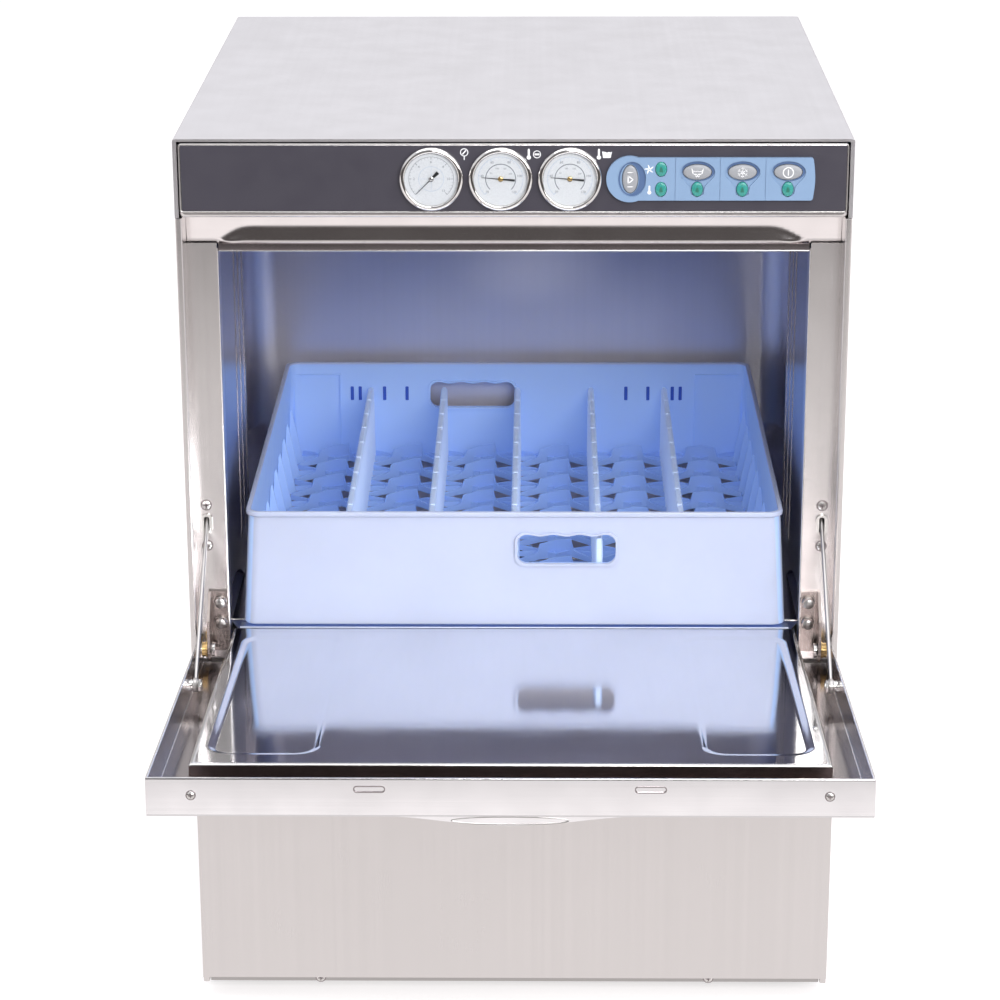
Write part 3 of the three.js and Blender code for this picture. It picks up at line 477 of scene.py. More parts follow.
def printed(name, color):
    """Screen-printed ink, a little uneven."""
    f = Finish(name)
    tone = f.ranged(f.noise((500, 500, 500), 3), 0.0, 1.0)
    f.set("Base Color", f.mixed(tone, [c * 0.92 for c in color], color))
    f.set("Roughness", f.ranged(f.noise((90, 90, 90), 2), 0.4, 0.55))
    f.bump(f.noise((1500, 1500, 1500), 2), 0.05, 0.00005)
    return f.mat


def clear(name, tint, rough):
    """Thin clear glass: light passes straight through, with a reflection on top."""
    f = Finish(name)
    through = f.add("ShaderNodeBsdfTransparent", {"Color": (*tint, 1)})
    smear = f.ranged(f.noise((40, 40, 40), 3), rough, rough + 0.03)
    gloss = f.add("ShaderNodeBsdfGlossy", {"Roughness": smear})
    facing = f.add("ShaderNodeFresnel", {"IOR": 1.35})
    f.surface(facing.outputs[0], through.outputs[0], gloss.outputs[0])
    return f.mat


# dark warm steel for the liner in the door's channel: painted shade and dark reflection
CHANNEL_SHADED = steel("steel_channel_painted_shade", (0.34, 0.30, 0.30), 0.14, "y", lean=0.3)
# dark steel for the pan's skirt: painted shade and dark reflection
SKIRT_SHADED = steel("steel_skirt_painted_shade", (0.36, 0.29, 0.275), 0.2, "x", lean=0.3)
WARM = (0.80, 0.765, 0.755)
SHEET_X = steel("steel_grain_across", WARM, 0.26, "x")
SHEET_Y = steel("steel_grain_deep", (0.92, 0.90, 0.925), 0.30, "y")
SHEET_Z = steel("steel_grain_upright", WARM, 0.25, "z")
LIP = steel("steel_door_lip", (0.84, 0.825, 0.835), 0.17, "x", lean=0.3)
PAN = steel(
    "steel_pan_polished", (0.80, 0.80, 0.82), 0.075, "y", spread=0.02, lean=0.55, relief=0.06, wave=60.0,
)
CHAMBER = steel("steel_chamber", (0.82, 0.79, 0.84), 0.42, "z", lean=0.4)
# the chamber's steel made darker and bluer for the rod pockets: painted shade
POCKET_SHADED = steel("steel_pocket_painted_shade", (0.42, 0.42, 0.50), 0.24, "z")
# steel tinted pale blue-grey for the threshold under the rack: painted reflection of the rack, lighter than
# the shade there
THRESHOLD_PAINTED_REFLECTION = steel("steel_threshold_painted_reflection", (0.66, 0.70, 0.82), 0.5, "x")
# a dark copy of the chamber's steel for the tank floor: painted shade
TANK_SHADED = steel("steel_tank_painted_shade", (0.28, 0.28, 0.31), 0.3, "x")
BRACKET = steel("steel_bracket", (0.40, 0.35, 0.33), 0.26, "z", lean=0.3)
BRIGHT = steel("steel_fastener", (0.78, 0.76, 0.74), 0.18, "z", spread=0.05, lean=0.0, mottle=0.1, relief=0.1)
DULL = steel("steel_dull", (0.5, 0.48, 0.47), 0.3, "z", spread=0.02)
CHROME = steel("chrome_bezel", (0.88, 0.86, 0.85), 0.09, "z", spread=0.02, lean=0.0, mottle=0.02, relief=0.02)
BRASS = steel("brass", (0.72, 0.50, 0.22), 0.26, "x", spread=0.06, lean=0.0, mottle=0.12)
RACK = moulded("rack_polypropylene", (0.50, 0.55, 0.72), 0.45, inner=0.1, finish=rack_painted_bounce)
# copies of the rack's plastic with painted light: paler and glowing on the dividers, deeper blue and glowing
# on the lattice, for light bounced inside the rack
RACK_PAINTED_LIT = moulded("rack_divider_painted_light", (0.60, 0.73, 0.98), 0.42, inner=0.1,
                    finish=lambda f: painted_glow(f, 1.0, (0.45, 0.55, 0.8), 0.2))
RACK_PAINTED_BOUNCE = moulded("rack_lattice", (0.40, 0.57, 0.96), 0.42, inner=0.1,
                  finish=lambda f: painted_glow(f, 1.0, (0.24, 0.38, 0.76), 0.13))
RACK_SLOT_SHADE = moulded("rack_slot_shade", (0.05, 0.12, 0.55), 0.5)
FILM = moulded("overlay_film", (0.047, 0.043, 0.058), 0.4, scale=2500, depth=0.04)
MODULE = moulded("module_plastic", (0.22, 0.33, 0.50), 0.42, coat=0.1)
# dark blue for the module's housing, and as painted shade in the recesses round the keys
MODULE_DARK_AND_SHADE = moulded("module_dark_and_painted_shade", (0.08, 0.14, 0.28), 0.4)
KEY = moulded("key_plastic", (0.32, 0.33, 0.35), 0.4, depth=0.25, scale=1800)
BLACK = moulded("black_plastic", (0.03, 0.03, 0.032), 0.5)
GREY = moulded("grey_plastic", (0.32, 0.33, 0.34), 0.45)
PALE = moulded("pale_plastic", (0.74, 0.74, 0.71), 0.45)
RUBBER = moulded("cable_rubber", (0.025, 0.025, 0.026), 0.6)
BOARD = moulded("circuit_board", (0.05, 0.22, 0.10), 0.4)
PAINT = moulded("pump_paint", (0.08, 0.09, 0.10), 0.4)
DIAL = printed("dial_white", (0.93, 0.93, 0.935))
WHITE = printed("ink_white", (0.92, 0.93, 0.95))
INK = printed("ink_grey", (0.30, 0.31, 0.34))
INK_BLUE = printed("ink_pale_blue", (0.62, 0.70, 0.82))
NEEDLE = printed("needle_black", (0.02, 0.02, 0.022))
TEAL = moulded("indicator_teal", (0.04, 0.30, 0.26), 0.22, inner=0.3, coat=0.3)
TEAL_DARK = printed("indicator_mark", (0.02, 0.16, 0.12))
GLASS = clear("gauge_glass", (0.98, 0.99, 1.0), 0.02)


# ---------- cabinet ----------
def screw(radius, rise):
    """A pan-head screw about the origin, facing -Y, with a cross recess."""
    dome = [(radius * r, -rise * h) for r, h in ((0.55, 0.93), (0.85, 0.6), (1, 0))]
    head = turned([(0.01, -rise)] + dome + [(0.01, 0)], "y", 28)
    long, short = radius * 0.58, radius * 0.17
    deep = (-rise - 1, -rise * 0.35)
    return cut(head, box((-long, long), deep, (-short, short)), box((-short, short), deep, (-long, long)))


def screws(name, places, body, turn=0, size=1.0):
    """Pan-head screws at the places given, each with a dark ring round it and a dark cross in its recess,
    both painted shade.
    """
    face = Matrix.Rotation(turn, 4, "Z") @ Matrix.Diagonal((size, size, size, 1))
    marks = turned([(4.4, -0.35), (5.3, -0.35), (5.4, 0.2), (4.4, 0.2)], "y", 28, True)
    for u, v in ((2.5, 0.7), (0.7, 2.5)):
        marks.join(box((-u, u), (-1.9, -0.75), (-v, v)))
    for key, shape, look in ((name, SCREW, BRIGHT), (f"{name}_painted_shade", marks, SHADED)):
        piece(key, joined(shape.moved(face).moved(place) for place in places), look, body, "fastener_steel")


def spots(points):
    return [Matrix.Translation(p) for p in points]


SCREW = screw(4.6, 2.4)


def cabinet():
    dress("side_panel_left", SHEET_Z, 0.5, merge=False)
    dress("side_panel_right", SHEET_Z, 0.5, merge=False)
    dress("top_cover", SHEET_Y, 0.6, 3, merge=False)
    dress("lower_front_panel", SHEET_Z, 0.6, 3, merge=False)
    dress("base_pan", DULL, 0.4, merge=False)
    dress("back_panel", SHEET_Z, 0.3, merge=False)
    for x in (-187, 187):
        screws(f"plinth_screw_{'left' if x < 0 else 'right'}", spots([(x, FRONT + 5.2, 4.5)]), "cabinet")
    places = [(x, z) for x in (-288, 288) for z in (40, 220, 400, 580, 735)]
    places += [(x, 745) for x in (-140, 0, 140)]
    screws("back_screws", spots([(x, REAR, z) for x, z in places]), "cabinet", math.pi)
    louvres = []
    for row in range(6):
        z = 300 + row * 16
        section = [(REAR, z + 2.5), (REAR - 1, z + 2.5), (REAR - 4.8, z - 2.4), (REAR - 4, z - 2.9)]
        louvres.append(prism([section], "x", -59.6, 59.6))
    piece("vent_louvres", joined(louvres), SHEET_X, "cabinet", "brushed_steel", bevel=0.15)
    for side, name in ((-1, "left"), (1, "right")):
        places = spots([(side * SIDE, y, 766) for y in (-230, 0, 230)])
        screws(f"hood_screws_{name}", places, "cabinet", side * math.pi / 2)


def ease(t):
    t = max(0.0, min(1.0, t))
    return t * t * (3 - 2 * t)


def header_face(x, t):
    """Set-back of the header's face, t running from its lower edge up to the fascia.

    The lower half stands proud between the header's ends.
    """
    mid = ease((x + 266 - 36 * t) / 13) * ease((262 - x - 44 * t) / 13)
    lean = 2.7 * (1 - t)
    below = max(0.0, 0.52 - t)
    return lean - mid * below * below / (below + 0.08) * 5.6


def door_frame():
    slot = rounded(ROD_X - 4.2, ROD_X + 4.2, GUIDE_Z - 8.6, GUIDE_Z + 8.6, 4.1)
    post = prism([rect(OPENING + 1.4, 298, 24, HEADER_Z + 0.2), slot], "y", FACE, FACE + 1.5)
    bend_x, bend_y = OPENING + 1.6, FACE + 1.6
    outer, inner = (
        [(bend_x - r * math.sin(a), bend_y - r * math.cos(a)) for a in quarter()] for r in (1.6, 0.2)
    )
    fold = outer + [(OPENING, FACE + 17.6), (OPENING + 1.4, FACE + 17.6)] + inner[::-1]
    post.join(prism([fold], "z", 322, 722))
    piece("post_right", post, SHEET_Z, "cabinet", "brushed_steel", ("front_frame",))
    piece("post_left", post.mirrored(), SHEET_Z, "cabinet", "brushed_steel")
    # header: a face that leans back slightly towards its lower edge, a rolled lip and a return; the lip is
    # drawn in the shaded steel, painted shade
    face = FACE - 0.4
    rows = []
    for k in range(121):
        x = -298 + 596 * k / 120
        row = [(x, face + header_face(x, 0) + 0.6, HEADER_Z - 0.4)]
        row += [(x, face + header_face(x, t), HEADER_Z + 30.4 * t) for t in (k / 14 for k in range(1, 15))]
        rows.append(row)
    piece("header", sheet(rows), HEADER, "cabinet", "brushed_steel", solid=-1.0, sharp=60)
    lip = [
        (16, 719.2), (0.7, 719.2), (-0.1, 719.8), (-0.3, 720.6), (-0.2, 726.1), (0.1, 726.4), (2, 726.4),
        (2, 720.4), (16, 720.4),
    ]
    nose = [(0.5, 719.0), (-0.2, 719.2), (-0.45, 719.9), (-0.1, 720.5), (0.7, 720.2)]
    for name, section, look, sharp in (("header_lip", lip, SHADED, 40), ("header_edge", nose, BRIGHT, 60)):
        roll = prism([[(FACE + y, z) for y, z in section]], "x", 0.2 - OPENING, OPENING - 0.2)
        piece(name, roll, look, "cabinet", "brushed_steel", sharp=sharp)
    sill = box((-OPENING, OPENING), (FACE, FACE + 18), (320.5, 322))
    low = box((-OPENING - 1, OPENING + 1), (FACE, FACE + 1.5), (24, 321.5))
    piece("door_sill", sill.join(low), SHEET_X, "cabinet", "brushed_steel", bevel=0.4)
    for side, name in ((-1, "left"), (1, "right")):
        screws(f"guide_screws_{name}", spots([(side * ROD_X, FACE, z) for z in (438.5, 478)]), "cabinet")


HEADER = steel("steel_header", (0.73, 0.69, 0.685), 0.16, "x", lean=0.2)
# the same steel darkened, for parts in shade: painted shade
SHADED = steel("steel_shaded", (0.36, 0.32, 0.325), 0.2, "x", lean=0.2)


def chamber():
    """Inner lining of the wash chamber as folded sheet."""
    half, rear, cove, front, top = 293.8, 250.0, 34.0, FACE + 18.3, 745
    right = [(half, front), (half, -40), (half, 120)]
    right += [(half - cove + cove * math.cos(a), rear - cove + cove * math.sin(a)) for a in quarter(14)]
    plan = right + [(x, rear) for x in (160, 80, 0, -80, -160)] + [(-x, y) for x, y in right[::-1]]
    levels = [(z, half) for z in (top, 600, 470, 400.2, 396, 391)] + [(z, 258) for z in (345, 300, 270)]
    lining = sheet([[(max(-wide, min(wide, x)), y, z) for x, y in plan] for z, wide in levels])
    lining.add([(x, y, top) for x, y in plan], [list(range(len(plan)))])
    piece("chamber_lining", lining, CHAMBER, "cabinet", "chamber_steel", ("wash_chamber",), solid=-0.8)
    ledge = [(250.0, 400.4), (248.4, 400.0), (247.4, 398.6), (248.4, 396.6), (250.0, 396.0)]
    piece("chamber_ledge", prism([ledge], "x", -256, 256), CHAMBER, "cabinet", "chamber_steel", sharp=60)
    # tank floor with the sump let into it
    floor = prism([rect(-258, 258, front, rear), rect(-110, 110, -120, 80)], "z", 268.8, 270)
    outer, inner = rounded(-111.2, 111.2, -121.2, 81.2, 6), rounded(-110, 110, -120, 80, 5)
    well = prism([outer, inner], "z", 205, 270).join(prism([outer], "z", 203.8, 205))
    front_wall = box((-258, 258), (front - 1.2, front), (268.8, 320))
    piece("tank_floor", floor.join(well, front_wall), TANK_SHADED, "cabinet", "chamber_steel", bevel=0.6)
    rod_pockets(front)
    rail = [(236, 357.6), (266.2, 357.6), (266.2, 356), (237.4, 356), (237.4, 351), (236, 351)]
    rails = both_sides(prism([rail], "y", FACE + 20, 244))
    piece("rack_rails", rails, BRIGHT, "cabinet", "chamber_steel", bevel=0.4)
    stop = [(-277.4, 355.2), (-276.6, 356.2), (-264, 356.2), (-264, 355), (-276, 355)]
    stop += [(-276.2, 322), (-277.4, 322)]
    piece("chamber_threshold", prism([stop], "x", -257, 257), THRESHOLD_PAINTED_REFLECTION, "cabinet", "chamber_steel", sharp=50)


def rod_pockets(front):
    """Dry pocket for each tie rod, its lower edge curved down towards the rear."""
    rear, top = -66, 744.5
    lower = [(front, 391.0), (-254, 391.0)]
    for k in range(1, 13):
        t = k / 12
        y = (1 - t) ** 2 * -254 + 2 * t * (1 - t) * -190 + t * t * -130
        z = (1 - t) ** 2 * 391 + 2 * t * (1 - t) * 391 + t * t * 354
        lower.append((y, z))
    lower.append((rear, 354.0))
    pocket = prism([lower + [(rear, top), (front, top)]], "x", OPENING, OPENING + 1.4)
    pocket.join(box((266, 290), (rear - 1.4, rear), (354, top)))
    for (y0, z0), (y1, z1) in zip(lower, lower[1:]):
        pocket.join(prism([[(y0, z0), (y1, z1), (y1, z1 + 1.2), (y0, z0 + 1.2)]], "x", 266, 289.8))
    # thin ribs in shaded steel: dark lines of painted shade on the pocket's wall
    shade_ribs = joined(box((265.0, 265.6), (y - 4, y + 4), (400, 744)) for y in (-148, -112, -74))
    piece("pocket_shade_ribs", both_sides(shade_ribs), SHADED, "cabinet", "chamber_steel", bevel=0.2)
    piece("rod_pocket_right", pocket, POCKET_SHADED, "cabinet", "chamber_steel", bevel=0.5)
    piece("rod_pocket_left", pocket.mirrored(), POCKET_SHADED, "cabinet", "chamber_steel", bevel=0.5)


# ---------- control panel ----------
DIAL_PLACES = (-72.2, -11, 50)


def fascia():
    def ring(inset, y, r):
        loop = rounded(inset - 295.3, 295.3 - inset, 757.4 + inset, 824.4 - inset, r, 4)
        return [(x, y, z) for x, z in loop]

    rings = [ring(0, FACE - 4, 3)]
    rings += [ring(2.6 - 2.6 * math.cos(a), FRONT + 2.6 - 2.6 * math.sin(a), 3) for a in quarter()]
    rings.append(ring(6, FRONT, 2))
    panel = loft(rings)
    piece("fascia_panel", panel, SHEET_X, "cabinet", "brushed_steel", ("control_fascia",), sharp=80)
    bead = []
    for k in range(9):
        a = math.pi * k / 8
        inset = 0.75 - 0.75 * math.cos(a)
        loop = rounded(inset - 295.0, 295.0 - inset, 762.0 + inset, 824.2 - inset, 2.6 - inset, 4)
        bead.append([(x, FRONT + 0.1 - 1.15 * math.sin(a), z) for x, z in loop])
    piece("fascia_bead", loft(bead, caps=False), BRIGHT, "cabinet", "brushed_steel", sharp=80)
    film = [rounded(-293.2, 293.2, 763.8, 822.4, 1.2, 3)] + [
        circle(x, DIAL_Z, 27.4)[::-1]
        for x in DIAL_PLACES
    ]
    overlay = prism(film, "y", FRONT - 0.85, FRONT - 0.25)
    piece("overlay", overlay, FILM, "cabinet", "overlay_film", ("fascia_overlay",), bevel=0.12)
    ink = FRONT - 0.86

    def mark(*loops, depth=0.06):
        return prism(loops, "y", ink - depth, ink)

    # pressure: a small dial on a stem
    marks = [
        mark(circle(-43, 816.4, 3.6, 32), circle(-43, 816.4, 2.9, 32)[::-1]),
        mark([(-45, 814.9), (-44.2, 814.2), (-41, 817.9), (-41.8, 818.6)]),
        mark(rect(-43.4, -42.6, 809.6, 812.9)),
    ]

    def thermometer(x):
        stem = rounded(x - 6.5, x - 4.7, 812.4, 819.6, 0.88, 4)
        return [mark(circle(x - 5.6, 811.9, 1.9, 24)), mark(stem, depth=0.07)]

    # rinse water: a ring with a bar; tank water: a filled basin
    rinse_x, tank_x = 19.4, 81
    marks += thermometer(rinse_x)
    marks.append(mark(circle(rinse_x + 1.6, 814.6, 3.5, 32), circle(rinse_x + 1.6, 814.6, 2.8, 32)[::-1]))
    marks.append(mark(rect(rinse_x - 0.6, rinse_x + 3.8, 813.8, 815.4)))
    marks += thermometer(tank_x)
    basin = [
        (-2.9, 817.2), (-1.9, 811.4), (4.7, 811.4), (5.9, 817.2), (4.6, 816.2), (3.2, 816.8), (1.5, 816.1),
        (-0.2, 816.8),
    ]
    marks.append(mark([(tank_x + u, z) for u, z in basin]))
    piece("overlay_symbols", joined(marks), WHITE, "cabinet", "overlay_film")


def place_text(text, size):
    """A short figure as a flat shape centred on the origin, facing -Y."""
    curve = bpy.data.curves.new("figure", "FONT")
    curve.body, curve.size, curve.resolution_u = text, size, 2
    curve.align_x, curve.align_y = "CENTER", "CENTER"
    o = placed("figure", curve)
    points, faces = evaluated(o)
    bpy.data.objects.remove(o)
    bpy.data.curves.remove(curve)
    return Shape().add([(x, 0, y) for x, y, _ in points], faces)


def arc_band(radius, width, start, end, n=64):
    """A flat band along an arc, in the x-z plane about the origin."""
    outer = [
        (radius * math.cos(a), radius * math.sin(a))
        for a in (start + (end - start) * k / n for k in range(n + 1))
    ]
    inner = [(u * (radius - width) / radius, v * (radius - width) / radius) for u, v in outer]
    return inked(outer + inner[::-1])


def inked(loop):
    return prism([loop], "y", -0.03, 0.03)


def gauge(name, x, labels, cross):
    """Round dial gauge: chrome bezel, printed dial, glass and, with cross, a crossed inner ring."""
    bezel = [
        (23.7, -5.4), (24.2, -6.0), (25.0, -6.3), (26.2, -6.2), (27.4, -5.6), (28.2, -4.4), (28.5, -2.8),
        (28.5, -1.3), (26.3, -1.3), (26.2, 22), (24.6, 22), (24.6, -1.2), (23.7, -1.6),
    ]
    shell = turned(bezel, "y", 96, True).join(
        turned([(0.01, 22), (26, 22), (26, 23), (0.01, 23)], "y", 48),
        turned([(0.01, 34), (6, 34), (6, 22.5), (0.01, 22.5)], "y", 24),
    )
    low, high = math.radians(225), math.radians(-45)
    count = (len(labels) - 1) * 5
    ticks = []
    for k in range(count + 1):
        start, width = (17.4, 0.22) if k % 5 == 0 else (18.4, 0.11)
        turn = Matrix.Rotation(-(low + (high - low) * k / count), 4, "Y")
        ticks.append(inked(rect(start, 19.8, -width, width)).moved(turn))
    ticks.append(arc_band(19.95, 0.3, low, high))
    radius = 15.2 if cross else 16.6
    figures = []
    for k, label in enumerate(labels):
        a = low + (high - low) * k / (len(labels) - 1)
        figures.append(place_text(label, 3.1).at(radius * math.cos(a), 0, radius * math.sin(a)))
    if cross:
        arms = [rect(-11.2, 11.2, -0.12, 0.12), rect(-0.12, 0.12, -11.2, 11.2)]
        inner = [arc_band(11.2, 0.3, 0, TAU - 0.001, 96)] + [inked(loop) for loop in arms]
    else:
        inner = [arc_band(13.6, 0.75, low, high)]
        for label, a in zip(("50", "100", "150", "200"), (2.6, 1.9, 1.2, 0.5)):
            inner.append(place_text(label, 2.1).at(9.8 * math.cos(a), 0, 9.8 * math.sin(a)))
    plate = turned([(0.01, -1.9), (24.2, -1.9), (24.5, -1.4), (0.01, -1.4)], "y", 64)
    lens = [(0.01, -5.35), (8, -5.3), (16, -5.15), (23.3, -4.8), (23.5, -4.4), (23.3, -4.2), (0.01, -4.25)]
    face = -1.95
    scale_ink, inner_ink, inner_rise = (INK, INK_BLUE, 0) if cross else (INK_BLUE, INK, 0.01)
    for part, shape, rise, look, slot, hides, sharp in (
        ("bezel", shell, 0, CHROME, "gauge_chrome", (f"{name}_gauge_case",), 50),
        ("dial", plate, 0, DIAL, "gauge_chrome", (), 32),
        ("figures", joined(figures), face - 0.02, INK, "gauge_chrome", (), 32),
        ("scale", joined(ticks), face, scale_ink, "gauge_chrome", (), 32),
        ("inner_scale", joined(inner), face - inner_rise, inner_ink, "gauge_chrome", (), 32),
        ("glass", turned(lens, "y", 64), 0, GLASS, "gauge_glass", (f"{name}_gauge_lens",), 32),
    ):
        piece(f"{name}_{part}", shape.at(x, FRONT + rise, DIAL_Z), look, "cabinet", slot, hides, sharp=sharp)


def pointer(name, x, angle, reach, tail, tail_width, hub_look):
    """A needle that tapers from its tail to its tip, turned to the angle that the photo shows."""
    upper = [(reach, 0.16), (-2, 0.5), (-tail * 0.35, tail_width * 0.36), (-tail, tail_width / 2)]
    blade = prism([[(u, -v) for u, v in upper[::-1]] + upper], "y", -3.4, -2.95)
    hub = turned([(0.01, -4.0), (1.3, -3.95), (2.1, -3.6), (2.4, -3.1), (2.4, -2.6), (0.01, -2.6)], "y", 32)
    turn = Matrix.Translation((x, FRONT, DIAL_Z)) @ Matrix.Rotation(math.radians(-angle), 4, "Y")
    body, slot = f"{name}_pointer", "pointer_black"
    piece(f"{name}_needle", blade.moved(turn), NEEDLE, body, slot, (f"{name}_gauge_needle",), bevel=0.06)
    piece(f"{name}_hub", hub.moved(turn), hub_look, body, slot)


def module_outline():
    """A large round left end, then a bar with soft corners and a slightly bowed right end."""
    z, left, r, h, right, corner = 793.0, 102.6, 20.6, 19.1, 263.5, 2.4
    meet = math.asin(h / r)
    angles = [meet + (TAU - 2 * meet) * k / 48 for k in range(49)]
    points = [(left + r * math.cos(a), z + r * math.sin(a)) for a in angles]
    turn = [(right - 2 + corner * math.sin(a), h - corner + corner * math.cos(a)) for a in quarter(8)]
    points += [(x, z - v) for x, v in turn[1:]]
    for t in (k / 8 for k in range(1, 8)):
        points.append((right + 0.4 + 1.6 * math.sin(math.pi * t), z + (h - corner) * (2 * t - 1)))
    return points + [(x, z + v) for x, v in turn[::-1]]


BUTTONS = (("drain", 162.0), ("rinse", 201.6), ("power", 241.7))
START_X, START_Z = 103, 793
LENSES = [(130.1, 784), (130.1, 802)] + [(x, 784) for x in (162, 201.6, 241.7)]


def control_module():
    def tool(outline, depth=3.1):
        return prism([outline], "y", FRONT - 8, FRONT - depth)

    tools, shade_crescents = [], []
    for _, x in BUTTONS:
        # recess round the key, drawn in to the indicator below it
        angles = [-0.62 + (math.pi + 1.24) * k / 32 for k in range(33)]
        outline = [(x + 15.6 * math.cos(a), 799.0 + 10.2 * math.sin(a)) for a in angles]
        outline += [(x - 6.6, 786.5), (x - 5.6, 779.6), (x, 776.8), (x + 5.6, 779.6), (x + 6.6, 786.5)]
        tools.append(tool(outline))
        # a dark crescent inside the recess, towards its upper right: painted shade
        shade_crescents.append((ellipse(x + 0.7, 800.2, 14.5, 9.2, 56), ellipse(x - 0.2, 799.2, 13.2, 7.4, 56)))
    tools.append(tool(ellipse(104.4, START_Z, 12.6, 15.8, 56)))
    shade_crescents.append((ellipse(104.6, START_Z, 12.0, 15.2, 56), ellipse(102.6, START_Z, 8.4, 13.6, 56)))
    # seams between the fields, then the holes for the indicators and the keys
    tools += [tool(rect(x - 0.28, x + 0.28, 773, 813), 4.0) for x in (142.5, 181.9, 221.9)]
    tools += [tool(ellipse(x, z, 5.3, 6.8, 40), 0) for x, z in LENSES]
    tools += [tool(ellipse(x, KEY_Z, 13.0, 7.3), 0) for _, x in BUTTONS]
    tools.append(tool(ellipse(START_X, START_Z, 7.3, 13.0), 0))
    plate = cut(prism([module_outline()], "y", FRONT - 4.6, FRONT - 1.0), *tools)
    piece(
        "module_plate", plate, MODULE, "cabinet", "module_plastic", ("control_module",),
        bevel=0.55, segments=3, sharp=40,
    )
    # the dark crescents in the recesses: painted shade
    crescents = joined(hoop(outer, inner, FRONT - 3.25, FRONT - 3.0) for outer, inner in shade_crescents)
    piece("module_shade_crescents", crescents, MODULE_DARK_AND_SHADE, "cabinet", "module_plastic")
    housing = box((90, 259), (FRONT - 0.6, FRONT + 14), (776.5, 809.5))
    piece("module_housing", housing, MODULE_DARK_AND_SHADE, "cabinet", "module_plastic", bevel=1.5, segments=3)
    cover = ((1.0, 1.0), (1.0, 4.3), (0.93, 4.9), (0.75, 5.3), (0.4, 5.55), (0.05, 5.6))
    arrow = [(-1.5, -2.4), (1.5, -2.4), (1.2, 0.6), (0, 2.6), (-1.2, 0.6)]
    covers, marks = [], []
    for x, z in LENSES:
        covers.append(dome(x, z, 5.0, 6.5, cover, 40))
        marks.append(prism([[(x + u, z + v) for u, v in arrow]], "y", FRONT - 5.66, FRONT - 5.4))
    covers = joined(covers)
    piece("indicator_covers", covers, TEAL, "cabinet", "indicator_plastic", ("indicator_lenses",), sharp=60)
    piece("indicator_marks", joined(marks), TEAL_DARK, "cabinet", "indicator_plastic")
    # symbols beside the two left-hand indicators: a swirl and a thermometer
    face = FRONT - 4.62
    blade = [(0.5, -0.4), (2.0, 0.2), (3.3, 1.5), (3.6, 2.8), (2.5, 1.9), (1.3, 1.2), (0.4, 0.6)]
    blade = prism([blade], "y", -0.05, 0.05)
    swirl = joined(blade.moved(Matrix.Rotation(TAU * k / 5, 4, "Y")) for k in range(5))
    thermometer = prism([rounded(-0.75, 0.75, -1.5, 3.8, 0.7, 4)], "y", -0.05, 0.05)
    thermometer.join(prism([circle(0, -2.4, 1.7, 24)], "y", -0.06, 0.06))
    symbols = swirl.at(119.6, face, 802).join(thermometer.at(119.9, face, 783.6))
    piece("module_symbols", symbols, WHITE, "cabinet", "module_plastic")


def dome(u, v, a, b, profile, n=56):
    """An oval cap; the profile gives each ring's share of the oval and how far it stands out of FRONT."""
    rings = [
        [(x, FRONT - out, z) for x, z in ellipse(u, v, a * share, b * share, n)]
        for share, out in profile
    ]
    return loft(rings)


def stroke(points, width, closed=False):
    """A flat line of even width in the x-z plane."""
    shape = Shape()
    for (x0, z0), (x1, z1) in zip(points, points[1:] + points[:1] if closed else points[1:]):
        length = math.hypot(x1 - x0, z1 - z0)
        dx, dz = (z1 - z0) / length * width / 2, -(x1 - x0) / length * width / 2
        line = [(x0 + dx, z0 + dz), (x1 + dx, z1 + dz), (x1 - dx, z1 - dz), (x0 - dx, z0 - dz)]
        shape.join(prism([line], "y", -0.06, 0.06))
    for x, z in points:
        shape.join(prism([circle(x, z, width / 2, 12)], "y", -0.06, 0.06))
    return shape


def keys():
    """The start key and three oval ones, each a softly domed cap with a generic symbol."""
    top = 4.9  # how far a cap stands out before its crown
    face = FRONT - top - 0.78
    profile = [(1.0, -7.8)] + [
        (share, top + rise) for share, rise in (
            (1.0, -1.5), (0.985, -0.8), (0.93, -0.2), (0.8, 0.25), (0.5, 0.6), (0.2, 0.72), (0.02, 0.75),
        )
    ]
    start = stroke([(-1.9, -3.4), (-1.9, 3.4), (2.6, 0)], 0.95, True)
    start.join(stroke([(-2.2, -6.4), (2.2, -6.4)], 0.9), stroke([(-2.2, 6.4), (2.2, 6.4)], 0.9))
    tank = stroke([(-5.0, 3.2), (-3.6, -1.6), (3.6, -1.6), (5.0, 3.2)], 1.0)
    tank.join(stroke([(0, -1.6), (0, -4.4)], 1.0), stroke([(-1.7, -2.9), (0, -4.5), (1.7, -2.9)], 0.9))
    tank.join(stroke([(-3.6, 1.4), (-1.8, 0.7), (0, 1.4), (1.8, 0.7), (3.6, 1.4)], 0.6))
    branch = stroke([(0, 0), (0, 4.6)], 0.75).join(stroke([(-1.3, 3.9), (0, 2.6), (1.3, 3.9)], 0.65))
    flake = joined(branch.moved(Matrix.Rotation(TAU * k / 6, 4, "Y")) for k in range(6))
    power = hoop(circle(0, 0, 4.9, 40), circle(0, 0, 4.0, 40), -0.06, 0.06)
    power.join(stroke([(0, -2.5), (0, 2.5)], 0.9))
    wide, narrow = 12.5, 6.85
    places = [("start", START_X, START_Z, narrow, wide)]
    places += [(name, x, KEY_Z, wide, narrow) for name, x in BUTTONS]
    for (name, x, z, a, b), symbol in zip(places, (start, tank, flake, power)):
        body, cap = f"{name}_key", dome(x, z, a, b, profile)
        piece(f"{body}_cap", cap, KEY, body, "button_plastic", (f"{name}_button",), sharp=60)
        piece(f"{body}_symbol", symbol.at(x, face, z), WHITE, body, "button_plastic")


